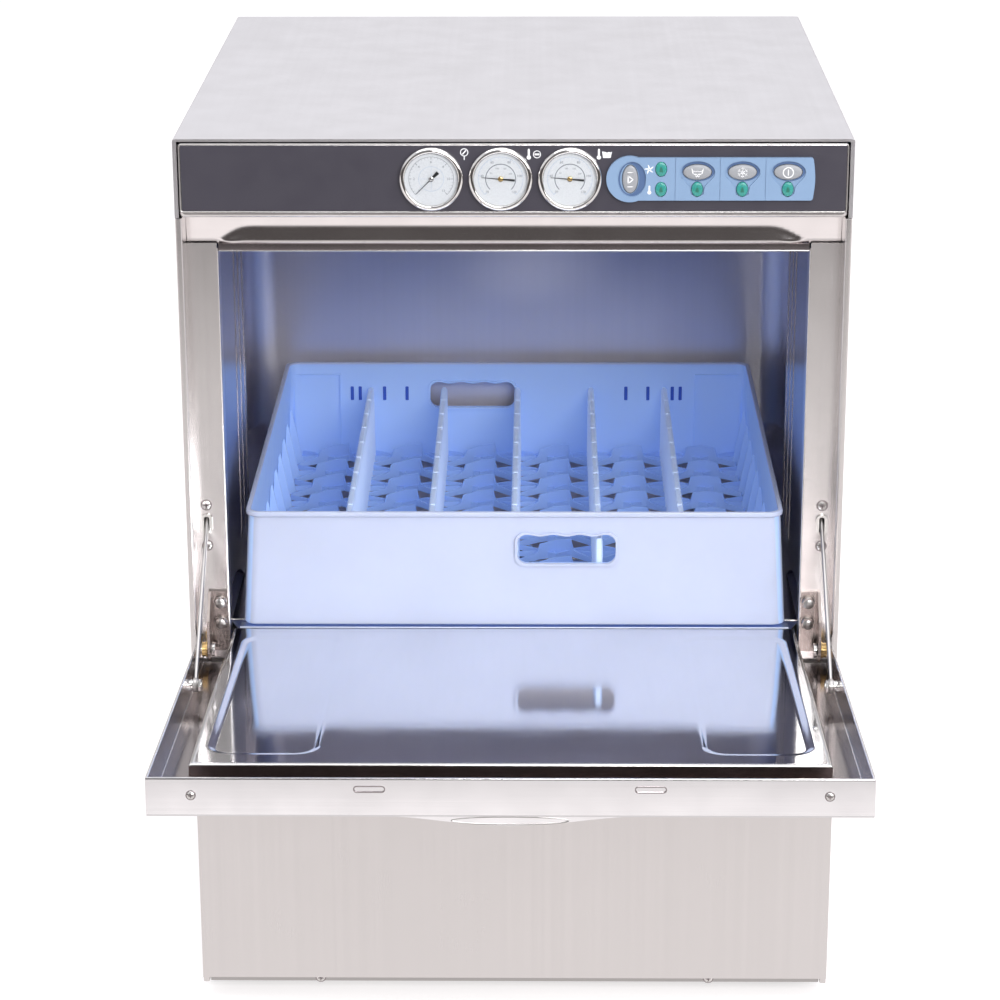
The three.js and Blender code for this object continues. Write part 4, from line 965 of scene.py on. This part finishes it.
# ---------- door ----------
def lip_section():
    """Section of a door edge about its outer face: d runs inwards, z up; a rolled hem closes the top."""
    outer = [(1.2, -17.5), (0.35, -17.15), (0, -16.3), (0, -15.4), (0, 13.6), (0, 14.4)]
    hem = [(0.1, 14.9), (0.5, 15.4), (1.1, 15.5), (1.8, 15.4), (2.3, 14.9), (2.3, 14.2), (1.9, 13.8)]
    inner = [(1.3, 13.4), (1.3, -16.0), (1.8, -16.3), (2.7, -16.3), (2.7, -17.5)]
    return outer + hem + inner


def door_skin():
    half, length, tail = DOOR_HALF, DOOR_LENGTH, 12.0

    def add(name, shape, look, slot="brushed_steel", hides=(), **edges):
        piece(name, shape.moved(DOOR), look, "door", slot, hides, **edges)

    front = prism([[(y - length, z) for y, z in lip_section()]], "x", 0.5 - half, half - 0.5)
    slots = [rounded(x - 12.2, x + 12.2, 3.7, 8.3, 2.2) for x in SLOT_PLACES]
    front = cut(front, joined(prism([slot], "y", -length - 1, -length + 2) for slot in slots))
    # a side lip's rear corner is round about the hinge, so that it clears the frame as the door turns
    right = prism([[(half - d, z) for d, z in lip_section()]], "y", 1.9 - length, tail)
    swing = [(20, 20), (0, 20)] + [(15.3 * math.sin(a), 15.3 * math.cos(a)) for a in quarter(12)] + [(20, 0)]
    right = cut(right, prism([swing], "x", half - 6, half + 2))
    plate = box((2 - half, half - 2), (2 - length, tail), (-17.5, DOOR_FLOOR))
    # a dark liner over the tray's floor: painted shade
    shade_liner = box((2.4 - half, half - 2.4), (2.4 - length, tail - 0.5), (-16.25, -15.75))
    add("door_channel", shade_liner, CHANNEL_SHADED, bevel=0.2)
    tray = joined([front, right, right.mirrored(), plate])
    add("door_skin", tray, LIP, hides=("door_outer_skin",), bevel=0.25, sharp=40)
    shade_rims, tongues = [], []
    # each slot has a dark collar round it, painted shade of its edge, and a bright tongue inside
    for x in SLOT_PLACES:
        outer, inner = rounded(x - 12.9, x + 12.9, 3.0, 8.9, 2.9), rounded(x - 12.0, x + 12.0, 3.9, 8.0, 2.0)
        shade_rims.append(hoop(outer, inner, -length - 0.3, -length + 1.0))
        tongues.append(prism([rounded(x - 12.8, x + 12.8, 3.2, 8.8, 2.7)], "y", -length + 0.6, -length + 2.2))
    add("door_slot_shade_rims", joined(shade_rims), SHADED, bevel=0.1)
    add("slot_tongues", joined(tongues), LIP)
    # pressed handle below the front edge, with a finger opening
    grip_z = -20.6
    shares = [-1 + k / 24 for k in range(49)]
    outline = [(100 * t, -17.0 - 8.0 * math.cos(t * math.pi / 2) ** 1.6) for t in shares]
    bulge = prism([[(-100, -16.6)] + outline + [(100, -16.6)]], "y", -length + 0.6, -length + 34)
    bulge = cut(bulge, prism([ellipse(0, grip_z, 47, 3.1, 64)], "y", -length - 2, -length + 26))
    add("door_handle", bulge, LIP, bevel=1.0, segments=3)
    # a dark rim round the finger opening: painted shade of its edge
    outer, inner = ellipse(0, grip_z, 47.6, 3.7, 72), ellipse(0, grip_z, 46.7, 2.9, 72)
    add("handle_rim", hoop(outer, inner, -length + 0.1, -length + 4), DULL, bevel=0.15)
    scoop = []
    for share, depth, rise in (
        (1, 1.0, 0), (0.97, 2.2, 0.1), (0.86, 3.4, 0.3), (0.5, 4.2, 0.5), (0.02, 4.5, 0.6),
    ):
        loop = ellipse(0, grip_z + rise, 46.8 * share, 3.0 * share, 72)
        scoop.append([(x, -length + depth, z) for x, z in loop])
    add("handle_scoop", loft(scoop), LIP, sharp=70)
    places = [DOOR @ place for place in spots([(x, -length, 0.6) for x in (-256.5, 256.5)])]
    screws("door_screws", places, "door", size=0.78)
    # pivots for the tie rods, bolted through the side lips
    reach = -math.sqrt(math.hypot(16, 118.3) ** 2 - 4)
    bolt = bar(3, "x", 278.6, half - 1.2, 20).join(
        bar(5, "x", 286.5, half - 1.2, 24),
        bar(6.4, "x", 281.9, 282.5, 28),
        prism([circle(0, 0, 5.6, 6)], "x", 279.4, 281.8),
    )
    add("rod_bolts", both_sides(bolt.at(0, reach, 2)), BRIGHT, "fastener_steel", bevel=0.2)


def door_pan():
    half, front, tail, top = 262.0, 376.0, 12.0, 18.0
    middle, reach = (tail - front) / 2, (tail + front) / 2
    edge = 1.8  # width of the rounded edge

    def height(x, y):
        """Slight crown, with two long panels pressed down into it."""
        u, v = abs(abs(x) - 204) - 26, abs(y + 184) - 148
        away = math.hypot(max(u, 0), max(v, 0)) + min(max(u, v), 0) - 20
        fall = 3.2 if y < middle else 0.3
        return top - fall * ((y - middle) / reach) ** 2 - 0.25 * (x / half) ** 4 - 1.7 * ease(-away / 4.4)

    across, along = 238, 176
    xs = [edge - half + 2 * (half - edge) * i / across for i in range(across + 1)]
    ys = [edge - front + (front + tail - 2 * edge) * j / along for j in range(along + 1)]
    panel = sheet([[(x, y, height(x, y)) for y in ys] for x in xs])
    panel.faces = [face[:1] + face[:0:-1] for face in panel.faces]
    panel = panel.moved(DOOR)
    piece("door_pan", panel, PAN, "door", "chamber_steel", ("door_inner_pan",), sharp=80, solid=-1.0)
    loop = [(x, ys[0]) for x in xs] + [(xs[-1], y) for y in ys[1:]]
    loop += [(x, ys[-1]) for x in xs[-2::-1]] + [(xs[0], y) for y in ys[-2:0:-1]]
    skirt = []
    # the edge rolls over, then drops to the door's floor; None stands for the floor's height
    for d, drop in ((1.8, 0.0), (0.9, 0.25), (0.3, 0.9), (0.0, 1.9), (0.0, None), (1.2, None), (1.2, 3.0)):
        across, along = 1 + (edge - d) / (half - edge), (reach - d) / (reach - edge)
        ring = []
        for x, y in loop:
            z = -15.6 if drop is None else height(x, y) - drop
            ring.append((x * across, middle + (y - middle) * along, z))
        skirt.append(ring)
    rolled, wall = (loft(rings, caps=False).moved(DOOR) for rings in (skirt[:4], skirt[3:]))
    piece("pan_edge", rolled, BRIGHT, "door", "chamber_steel", solid=-0.4, sharp=80)
    # the skirt takes the dark steel: painted shade
    piece("pan_skirt", wall, SKIRT_SHADED, "door", "chamber_steel", sharp=60)
    rivet = turned([(0.01, 1.3), (1.6, 1.1), (2.6, 0.5), (3.0, 0), (0.01, 0)], "z", 24)
    rivet = rivet.at(256, -285, height(256, -285) - 0.2)
    piece("pan_rivet", rivet.moved(DOOR), BRIGHT, "door", "fastener_steel")


def hinges():
    head = [(0.01, -9.2), (2.6, -9.0), (4.6, -8.2), (5.8, -7.0), (6.1, -6.0), (6.1, -2.6), (0.01, -2.6)]
    bolt = turned(head, "y", 36)
    bush = turned([
        (4.6, 285.6), (7.4, 285.6), (7.8, 286.0), (7.8, 287.2), (6.9, 287.6), (6.9, 290.9), (6.5, 291.2),
        (4.6, 291.2),
    ], "x", 32, True)
    slot = rounded(-2.4, 2.4, -7.7, 7.7, 2.3, 8)
    guide = hoop(rounded(-5.4, 5.4, -10, 10, 5.3, 8), slot, FACE - 2.0, FACE - 0.3)
    guide.join(hoop(rounded(-3.8, 3.8, -8.4, 8.4, 3.7, 8), slot, FACE - 0.3, FACE + 2.2))
    for side, sign in (("left", -1), ("right", 1)):
        dress(f"hinge_bracket_{side}", BRACKET, 0.4)
        heads = joined(bolt.at(sign * 274, FACE - 0.3, z) for z in (383.8, 363.4))
        piece(f"bracket_bolts_{side}", heads, DULL, "cabinet", "fastener_steel", sharp=60)
        dress(f"hinge_pin_{side}", BRIGHT, 0.4)
        sleeve = (bush if sign > 0 else bush.mirrored()).at(*HINGE)
        piece(f"hinge_sleeve_{side}", sleeve, BRASS, "cabinet", "bush_brass", (f"hinge_bush_{side}",))
        ring = guide.at(sign * ROD_X, 0, GUIDE_Z)
        hides = (f"rod_guide_{side}",)
        piece(f"guide_ring_{side}", ring, BRIGHT, "cabinet", "fastener_steel", hides, bevel=0.5)
        tie_rod(side, sign)


def tie_rod(side, sign):
    """A flat rod from its eye on the door up through the guide, with its spring and spring seat."""
    eye_y, eye_z = ROD_EYE
    angle = math.atan2(GUIDE_Z - eye_z, FACE - eye_y)
    place = Matrix.Translation((sign * ROD_X, eye_y, eye_z)) @ Matrix.Rotation(angle, 4, "X")
    strip = prism([rounded(-1.6, 1.6, -3.0, 3.0, 1.2, 4)], "y", 5, 215)
    eye = hoop(circle(0, 0, 6.5, 32), circle(0, 0, 3.5, 32), -1.6, 1.6, "x")
    seat = turned([(0.01, 212), (8.6, 212), (9, 212.4), (9, 214.6), (8.6, 215), (0.01, 215)], "y", 32)
    body, rod = f"rod_{side}", joined([strip, eye, seat]).moved(place)
    piece(f"{body}_bar", rod, DULL, body, "fastener_steel", (f"tie_rod_{side}",), bevel=0.3)
    # the coil stands where the frame's spring does, along the rod
    inverse, wire, turns = place.inverted(), 1.1, 8
    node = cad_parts[f"door_spring_{side}"]
    along = [(inverse @ (Vector(v.co) / MM)).y for v in node.data.vertices]
    start, end = min(along) + wire, max(along) - wire
    coil = []
    for t in (k / 240 for k in range(241)):
        a = TAU * turns * t
        coil.append((7 * math.cos(a), start + (end - start) * t, 7 * math.sin(a)))
    spring = tube(coil, wire, 8).moved(place)
    piece(f"{body}_spring", spring, DULL, body, "fastener_steel", (f"door_spring_{side}",))


# ---------- rack ----------
# the rack is drawn at its nominal 500 mm and widened to the 20 inches that the photo shows
RACK_AT = Matrix.Translation((0, -21.5, 358)) @ Matrix.Diagonal((1.016, 1.016, 1, 1))
CELL = 78  # width of a column of glasses


def add_rack(name, shape, look=RACK, hides=(), **edges):
    piece(f"rack_{name}", shape.moved(RACK_AT), look, "rack", "rack_plastic", hides, **edges)


def square_ring(half, r, z):
    return [(x, y, z) for x, y in rounded(-half, half, -half, half, r, 7)]


def grip_hole(x, wide, low, high):
    """Outline of a hand hole with a waved upper edge."""
    r, waves, depth = 9, 3, 1.7
    bottom = [(x - wide + r - r * math.cos(a), low + r - r * math.sin(a)) for a in quarter()]
    bottom += [(x + wide - r + r * math.sin(a), low + r - r * math.cos(a)) for a in quarter()]
    upper = [(x + wide - r + r * math.cos(a), high - r + r * math.sin(a)) for a in quarter()]
    span = 2 * (wide - r)
    for t in (k / 40 for k in range(1, 40)):
        upper.append((x + wide - r - span * t, high - depth * (0.5 - 0.5 * math.cos(TAU * waves * t))))
    upper += [(x - wide + r - r * math.sin(a), high - r + r * math.cos(a)) for a in quarter()]
    return bottom + upper


def rack():
    # half width, corner radius and height of each ring: outside up, over the rim, inside down
    profile = [
        (246.0, 10, 0.0), (249.0, 12, 0.0), (249.8, 12, 0.8), (250.0, 12, 2.0), (249.6, 12, 5.0),
        (244.3, 12, 100.0), (244.0, 12, 104.4), (244.9, 12.4, 104.9), (245.8, 12.6, 105.7),
        (246.1, 12.6, 106.8), (246.0, 12.6, 108.9), (245.6, 12.4, 109.7), (244.8, 12, 110.0),
        (242.7, 11, 110.0), (242.1, 11, 109.6), (241.8, 11, 108.8), (241.4, 11, 100.0), (246.2, 10, 3.0),
        (246.0, 10, 2.0),
    ]
    walls = loft([square_ring(*ring) for ring in profile], closed=True)
    grips = [prism([grip_hole(x, 45, 60, 89)], "y", y, y + 24) for x, y in ((48, -262), (-48, 238))]
    slot_places = [-176.5, -168, -142, -118, 115.5, 139, 165, 173.5]
    slots = [prism([rounded(x - 1.8, x + 1.8, 67, 83, 0.8, 2)], "y", 238, 262) for x in slot_places]
    add_rack("walls", cut(walls, *grips, *slots), hides=("glass_rack",), bevel=0.5, sharp=50)
    # dark blue backing behind each slot: painted shade
    floors = joined(box((x - 1.7, x + 1.7), (243.6, 245.2), (67.2, 82.8)) for x in slot_places)
    add_rack("slot_floors", floors, RACK_SLOT_SHADE, bevel=0.2)
    lips = []
    for x, y0, y1 in ((48, -248.1, -245.0), (-48, 239.6, 243.4)):
        lips.append(hoop(grip_hole(x, 47.2, 57.6, 90.6), grip_hole(x, 45.2, 59.8, 88.8), y0, y1))
    add_rack("grip_lips", joined(lips), bevel=0.5)
    panels = []
    for x0, x1 in ((-238, -188.5), (188.5, 238)):
        for u0, u1, v0, v1 in ((x0, x1, 96.6, 97.4), (x0, x0 + 0.8, 10, 97), (x1 - 0.8, x1, 10, 97)):
            panels.append(box((u0, u1), (239.2, 243.6), (v0, v1)))
    add_rack("corner_panels", joined(panels), bevel=0.2)
    section = [(229, 0.5), (245.4, 0.5), (242.2, 58), (240.5, 62), (236, 40), (231, 12)]
    ribs = []
    for side in (-1, 1):
        rib = prism([[(side * u, v) for u, v in section]], "y", -1.2, 1.2)
        ribs += [rib.at(0, 50 * j - 225, 0) for j in range(10)]
    add_rack("side_ribs", joined(ribs), bevel=0.3)
    rack_dividers()
    rack_floor()


def rack_dividers():
    """Five walls between the columns, each a row of ribbed teeth on a thin web."""
    levels = (
        (1.0, 1.1, 1.0), (30, 1.0, 1.0), (76, 0.92, 0.99), (81.4, 0.88, 0.985), (82.6, 0.74, 0.97),
        (83.0, 0.5, 0.95),
    )
    side = [(3.7 if k % 3 == 1 else 2.3, -23.2 + 46.4 * k / 18) for k in range(19)]
    outline = side + [(-u, v) for u, v in side[::-1]]
    tooth = loft([[(u * narrow, v * short, z) for u, v in outline] for z, narrow, short in levels])
    web = box((-1.5, 1.5), (-241.5, 241.5), (0.5, 72))
    teeth = Shape()
    for x in (CELL * i for i in range(-2, 3)):
        teeth.join(*(tooth.at(x, 48.4 * j - 218, 0) for j in range(10)), web.at(x, 0, 0))
    add_rack("dividers", teeth, RACK_PAINTED_LIT, sharp=50)


def ribbon(points, thick, low=0.0):
    """An upright wall along a plan line; each point gives x, y and its height."""
    n = len(points)
    verts = []
    for i, (x, y, top) in enumerate(points):
        a, b = points[max(i - 1, 0)], points[min(i + 1, n - 1)]
        along = Vector((b[0] - a[0], b[1] - a[1])).normalized()
        nx, ny = -along.y * thick, along.x * thick
        for side, share, z in ((-1, 1, low), (1, 1, low), (1, 0.8, top), (-1, 0.8, top)):
            verts.append((x + side * nx * share, y + side * ny * share, z))
    faces = [[0, 3, 2, 1], [4 * n - 4, 4 * n - 3, 4 * n - 2, 4 * n - 1]]
    for i in range(n - 1):
        for k in range(4):
            j = (k + 1) % 4
            faces.append([4 * i + k, 4 * i + j, 4 * i + 4 + j, 4 * i + 4 + k])
    return Shape().add(verts, faces)


def rack_floor():
    """Lattice of folded ribs: each cell has a raised plate in its middle, with low arms to the corners."""
    lattice = Shape()

    def wall(x, y, points, thick=1.1):
        lattice.join(ribbon([(x + u, y + v, top) for u, v, top in points], thick, 3.5))

    back = [
        (-37, 23, 8.5), (-19, 9, 9.5), (-17, 4, 10), (0, -9, 10.5), (17, 4, 10), (19, 9, 9.5), (37, 20, 8.5),
    ]
    for column, lean in enumerate((1.0, 1.0, 1.0, 0.8, 0.3, -0.2)):
        x = (column - 2.5) * CELL
        plate = [
            (-37, -21, 8.5), (-20, -7 - 3 * lean, 10), (-17.5, -5 - 3 * lean, 11.5),
            (-15, -4 - 3 * lean, 20.5 - 1.5 * lean), (0, 0, 21.5), (15, 6 * lean - 3, 21 + 1.5 * lean),
            (17.5, 5 * lean - 4, 11.5), (20, 5 * lean - 6, 10), (37, -18, 8.5),
        ]
        for y in (50 * row - 225 for row in range(10)):
            wall(x, y, plate)
            wall(x, y, back)
            wall(x, y, [(-19, 1, 9.5), (-37, 2, 8.5)], 0.9)
            wall(x, y, [(37, 2, 8.5), (19, 1, 9.5)], 0.9)
            wall(x, y, [(-1, -9, 9.5), (-1, 2, 9.5)], 0.9)
    for at in (-243, 243):
        lattice.join(ribbon([(-244, at, 4), (244, at, 4)], 2.5))
    for at in (-243, 243):
        lattice.join(ribbon([(at, -244, 4), (at, 244, 4)], 2.5))
    add_rack("lattice", lattice, RACK_PAINTED_BOUNCE, sharp=30)


# ---------- feet, spray arms and the machine compartment ----------
def feet():
    profile = [
        (0.01, -15), (18.4, -15), (19.6, -14.4), (20, -13.2), (20, -11.6), (19, -10.4), (11, -7.6), (9.6, -7),
        (9.2, -6), (9.2, -2.2), (8.6, -1.6), (5.6, -1.6), (5, -1.2), (5, 24.4), (4.4, 25), (0.01, 25),
    ]
    foot = turned(profile, "z", 40)
    for row, y in (("front", -245), ("rear", 245)):
        for side, x in (("left", -250), ("right", 250)):
            node, body = f"foot_{row}_{side}", f"foot_{row[0]}{side[0]}"
            piece(f"{node}_pad", foot.at(x, y, 0), BLACK, body, "foot_plastic", (node,), sharp=40)


def interior():
    """Pieces inside the cabinet; those that the CAD shows well enough only get their finish."""
    for node in ("lower_spray_post", "upper_spray_pipe", "boiler"):
        dress(node, DULL, 0.4)
    for level, up in (("lower", True), ("upper", False)):
        spray_arm(f"{level}_wash", 12.6, 14, up)
        spray_arm(f"{level}_rinse", 8.8, 8, up)
    for node, look, bevel in (
        ("sump_filter", CHAMBER, 0.3), ("tank_heater", DULL, 0.2), ("overflow_standpipe", GREY, 0.3),
        ("wash_pump", PAINT, 0.8), ("drain_pump", BLACK, 0.8), ("dosing_pump", GREY, 1.0),
        ("inlet_valve", PALE, 0.5), ("power_cable", RUBBER, 0.2), ("control_board", BOARD, 0.3),
    ):
        dress(node, look, bevel)


def spray_arm(body, bore, half_width, up):
    """A pressed arm with a turned hub and nozzles on one face, as long and as high as the frame's arm."""
    node = f"{body}_arm"
    lowest, highest = (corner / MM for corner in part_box(node))
    long = max(highest.x - lowest.x, highest.y - lowest.y) / 2
    low, high = lowest.z, highest.z
    mid, thick = (low + high) / 2, (high - low) / 2 - 2.3
    rings = []
    for share, height in ((0.55, -1.0), (0.85, -0.86), (1.0, -0.35), (1.0, 0.35), (0.85, 0.86), (0.55, 1.0)):
        half, end = half_width * share, long - half_width * (1 - share)
        loop = rounded(-end, end, -half, half, half - 0.05, 10)
        rings.append([(x, y, mid + thick * height) for x, y in loop])
    rim, wide = bore + 7.6, bore + 8.8
    hub = [(0.01, low), (rim, low), (wide, low + 1), (wide, high - 1), (rim, high), (0.01, high)]
    hub = turned(hub, "z", 40)
    hole = bar(bore, "z", low - 3, high + 3, 40)
    arm = cut(loft(rings), hole).join(cut(hub, hole))
    taper = [(0.42, -0.4), (0.34, 1.2), (0.14, 1.9), (0.10, 1.2)]
    nozzle = turned([(0.01, -0.4)] + [(half_width * share, z) for share, z in taper] + [(0.01, 1.0)], "z", 20)
    if not up:
        nozzle = nozzle.moved(Matrix.Rotation(math.pi, 4, "X"))
    face = mid + thick if up else mid - thick
    for i in range(1, 5):
        x = (long - half_width) * i / 4
        arm.join(nozzle.at(x, 0, face), nozzle.at(-x, 0, face))
    piece(f"{body}_arm_shell", arm.at(0, -20, 0), BRIGHT, body, "arm_steel", (node,), sharp=40)


cabinet()
door_frame()
chamber()
fascia()
left_dial, middle_dial, right_dial = DIAL_PLACES
gauge("pressure", left_dial, ("0", "2", "4", "6", "8", "10", "12"), cross=True)
for name, x in (("rinse", middle_dial), ("tank", right_dial)):
    gauge(name, x, ("20", "40", "60", "80", "100", "120"), cross=False)
pointer("pressure", left_dial, 225, 18.5, 8.5, 3.2, BRIGHT)
for name, x in (("rinse", middle_dial), ("tank", right_dial)):
    pointer(name, x, 175, 17.0, 12.5, 1.9, BRASS)
control_module()
keys()
door_skin()
door_pan()
hinges()
rack()
feet()
interior()


# ---------- stage ----------
def floor():
    """A plain pale floor; in reflections it is an even sweep that ends in front of the machine."""
    ground = Finish("stage_floor")
    tone = ground.ranged(ground.noise((2, 2, 2)), 0.0, 1.0)
    ground.set("Base Color", ground.mixed(tone, (0.60, 0.575, 0.575), (0.61, 0.585, 0.585)))
    ground.set("Roughness", 0.9)
    ground.set("Specular IOR Level", 0.1)
    rays = ground.add("ShaderNodeLightPath").outputs
    ground.set("Emission Color", (1, 1, 1, 1))
    ground.set("Emission Strength", ground.maths("MULTIPLY", rays["Is Camera Ray"], 0.55))
    place = ground.add("ShaderNodeNewGeometry").outputs["Position"]
    depth = ground.add("ShaderNodeSeparateXYZ", {0: place}).outputs["Y"]
    stops = (
        (0.0, 0.12), (0.12, 0.16), (0.22, 0.45), (0.30, 1.45), (0.41, 1.35), (0.50, 0.79), (0.62, 0.82),
        (0.80, 0.90), (1.0, 0.90),
    )
    sweep = ground.ramp(
        ground.ranged(depth, 0.0, 1.0, -3.2, 0.0), [(t, (v, v * 0.965, v * 0.965)) for t, v in stops],
    )
    plain = ground.add("ShaderNodeEmission", {"Color": sweep}).outputs[0]
    ground.surface(rays["Is Glossy Ray"], ground.bsdf.outputs[0], plain)
    side, near, far, z = 9.0, -3.2, 16.0, -0.0152
    mesh = bpy.data.meshes.new("floor")
    mesh.from_pydata([(-side, near, z), (side, near, z), (side, far, z), (-side, far, z)], [], [[0, 1, 2, 3]])
    mesh.materials.append(ground.mat)
    placed("floor", mesh)


def studio():
    """A soft pale sky, dimmed in front of the machine for reflections, and four large lamps."""
    world = bpy.data.worlds.new("studio")
    bpy.context.scene.world = world
    world.use_nodes = True
    sky = Graph(world.node_tree)
    view = sky.add("ShaderNodeTexCoord").outputs["Generated"]
    view = sky.add("ShaderNodeSeparateXYZ", {0: view}).outputs
    stops = (
        (0.0, (0.16, 0.145, 0.14)), (0.5, (0.27, 0.245, 0.24)), (0.56, (0.44, 0.42, 0.42)),
        (0.64, (0.85, 0.85, 0.87)), (0.85, (0.84, 0.85, 0.89)), (1.0, (0.78, 0.80, 0.85)),
    )
    color = sky.ramp(sky.ranged(view["Z"], 0.0, 1.0, -1, 1), stops)
    rays = sky.add("ShaderNodeLightPath").outputs
    ahead = sky.ranged(view["Y"], 0.35, 1.0, -0.75, -0.2)
    strength = sky.add("ShaderNodeMix", {0: rays["Is Glossy Ray"], 2: 1.0, 3: ahead}).outputs[0]
    background = sky.tree.nodes["Background"]
    sky.plug(background.inputs["Color"], color)
    sky.plug(background.inputs["Strength"], strength)
    pale = sky.add("ShaderNodeBackground", {"Color": (0.93, 0.93, 0.935, 1)})
    sky.surface(rays["Is Camera Ray"], background.outputs[0], pale.outputs[0])
    for name, at, aim, size, power in (
        ("overhead", (0, -0.6, 3.4), (0, 0, 0), (3.6, 3.0), 54),
        ("front", (0.9, -3.5, 2.15), (0, 0, 0.45), (2.0, 1.1), 62),
        ("front_left", (-2.6, -3.0, 2.1), (0, 0, 0.5), (1.8, 2.0), 6),
        ("front_right", (2.6, -3.0, 2.1), (0, 0, 0.5), (1.8, 2.0), 44),
    ):
        light = bpy.data.lights.new(name, "AREA")
        light.shape, light.energy = "RECTANGLE", power
        light.size, light.size_y = size
        o = placed(name, light)
        o.location, o.rotation_mode = at, "QUATERNION"
        o.rotation_quaternion = (Vector(aim) - Vector(at)).to_track_quat("-Z", "Y")


def camera():
    """The photo's viewpoint, solved from the cabinet's and the rack's corners."""
    data = bpy.data.cameras.new("camera")
    data.lens, data.sensor_width, data.clip_start, data.clip_end = 110.35, 36, 0.05, 60
    tilt = Matrix.Rotation(math.radians(71.165), 4, "X")
    turn = Matrix.Rotation(0.013, 4, "Z") @ tilt @ Matrix.Rotation(-0.003, 4, "Z")
    o = placed("camera", data)
    o.location, o.rotation_mode = (0.022, -2.9578, 1.3967), "QUATERNION"
    o.rotation_quaternion = turn.to_quaternion()
    bpy.context.scene.camera = o


floor()
studio()
camera()
bpy.context.scene.view_settings.view_transform = "Standard"
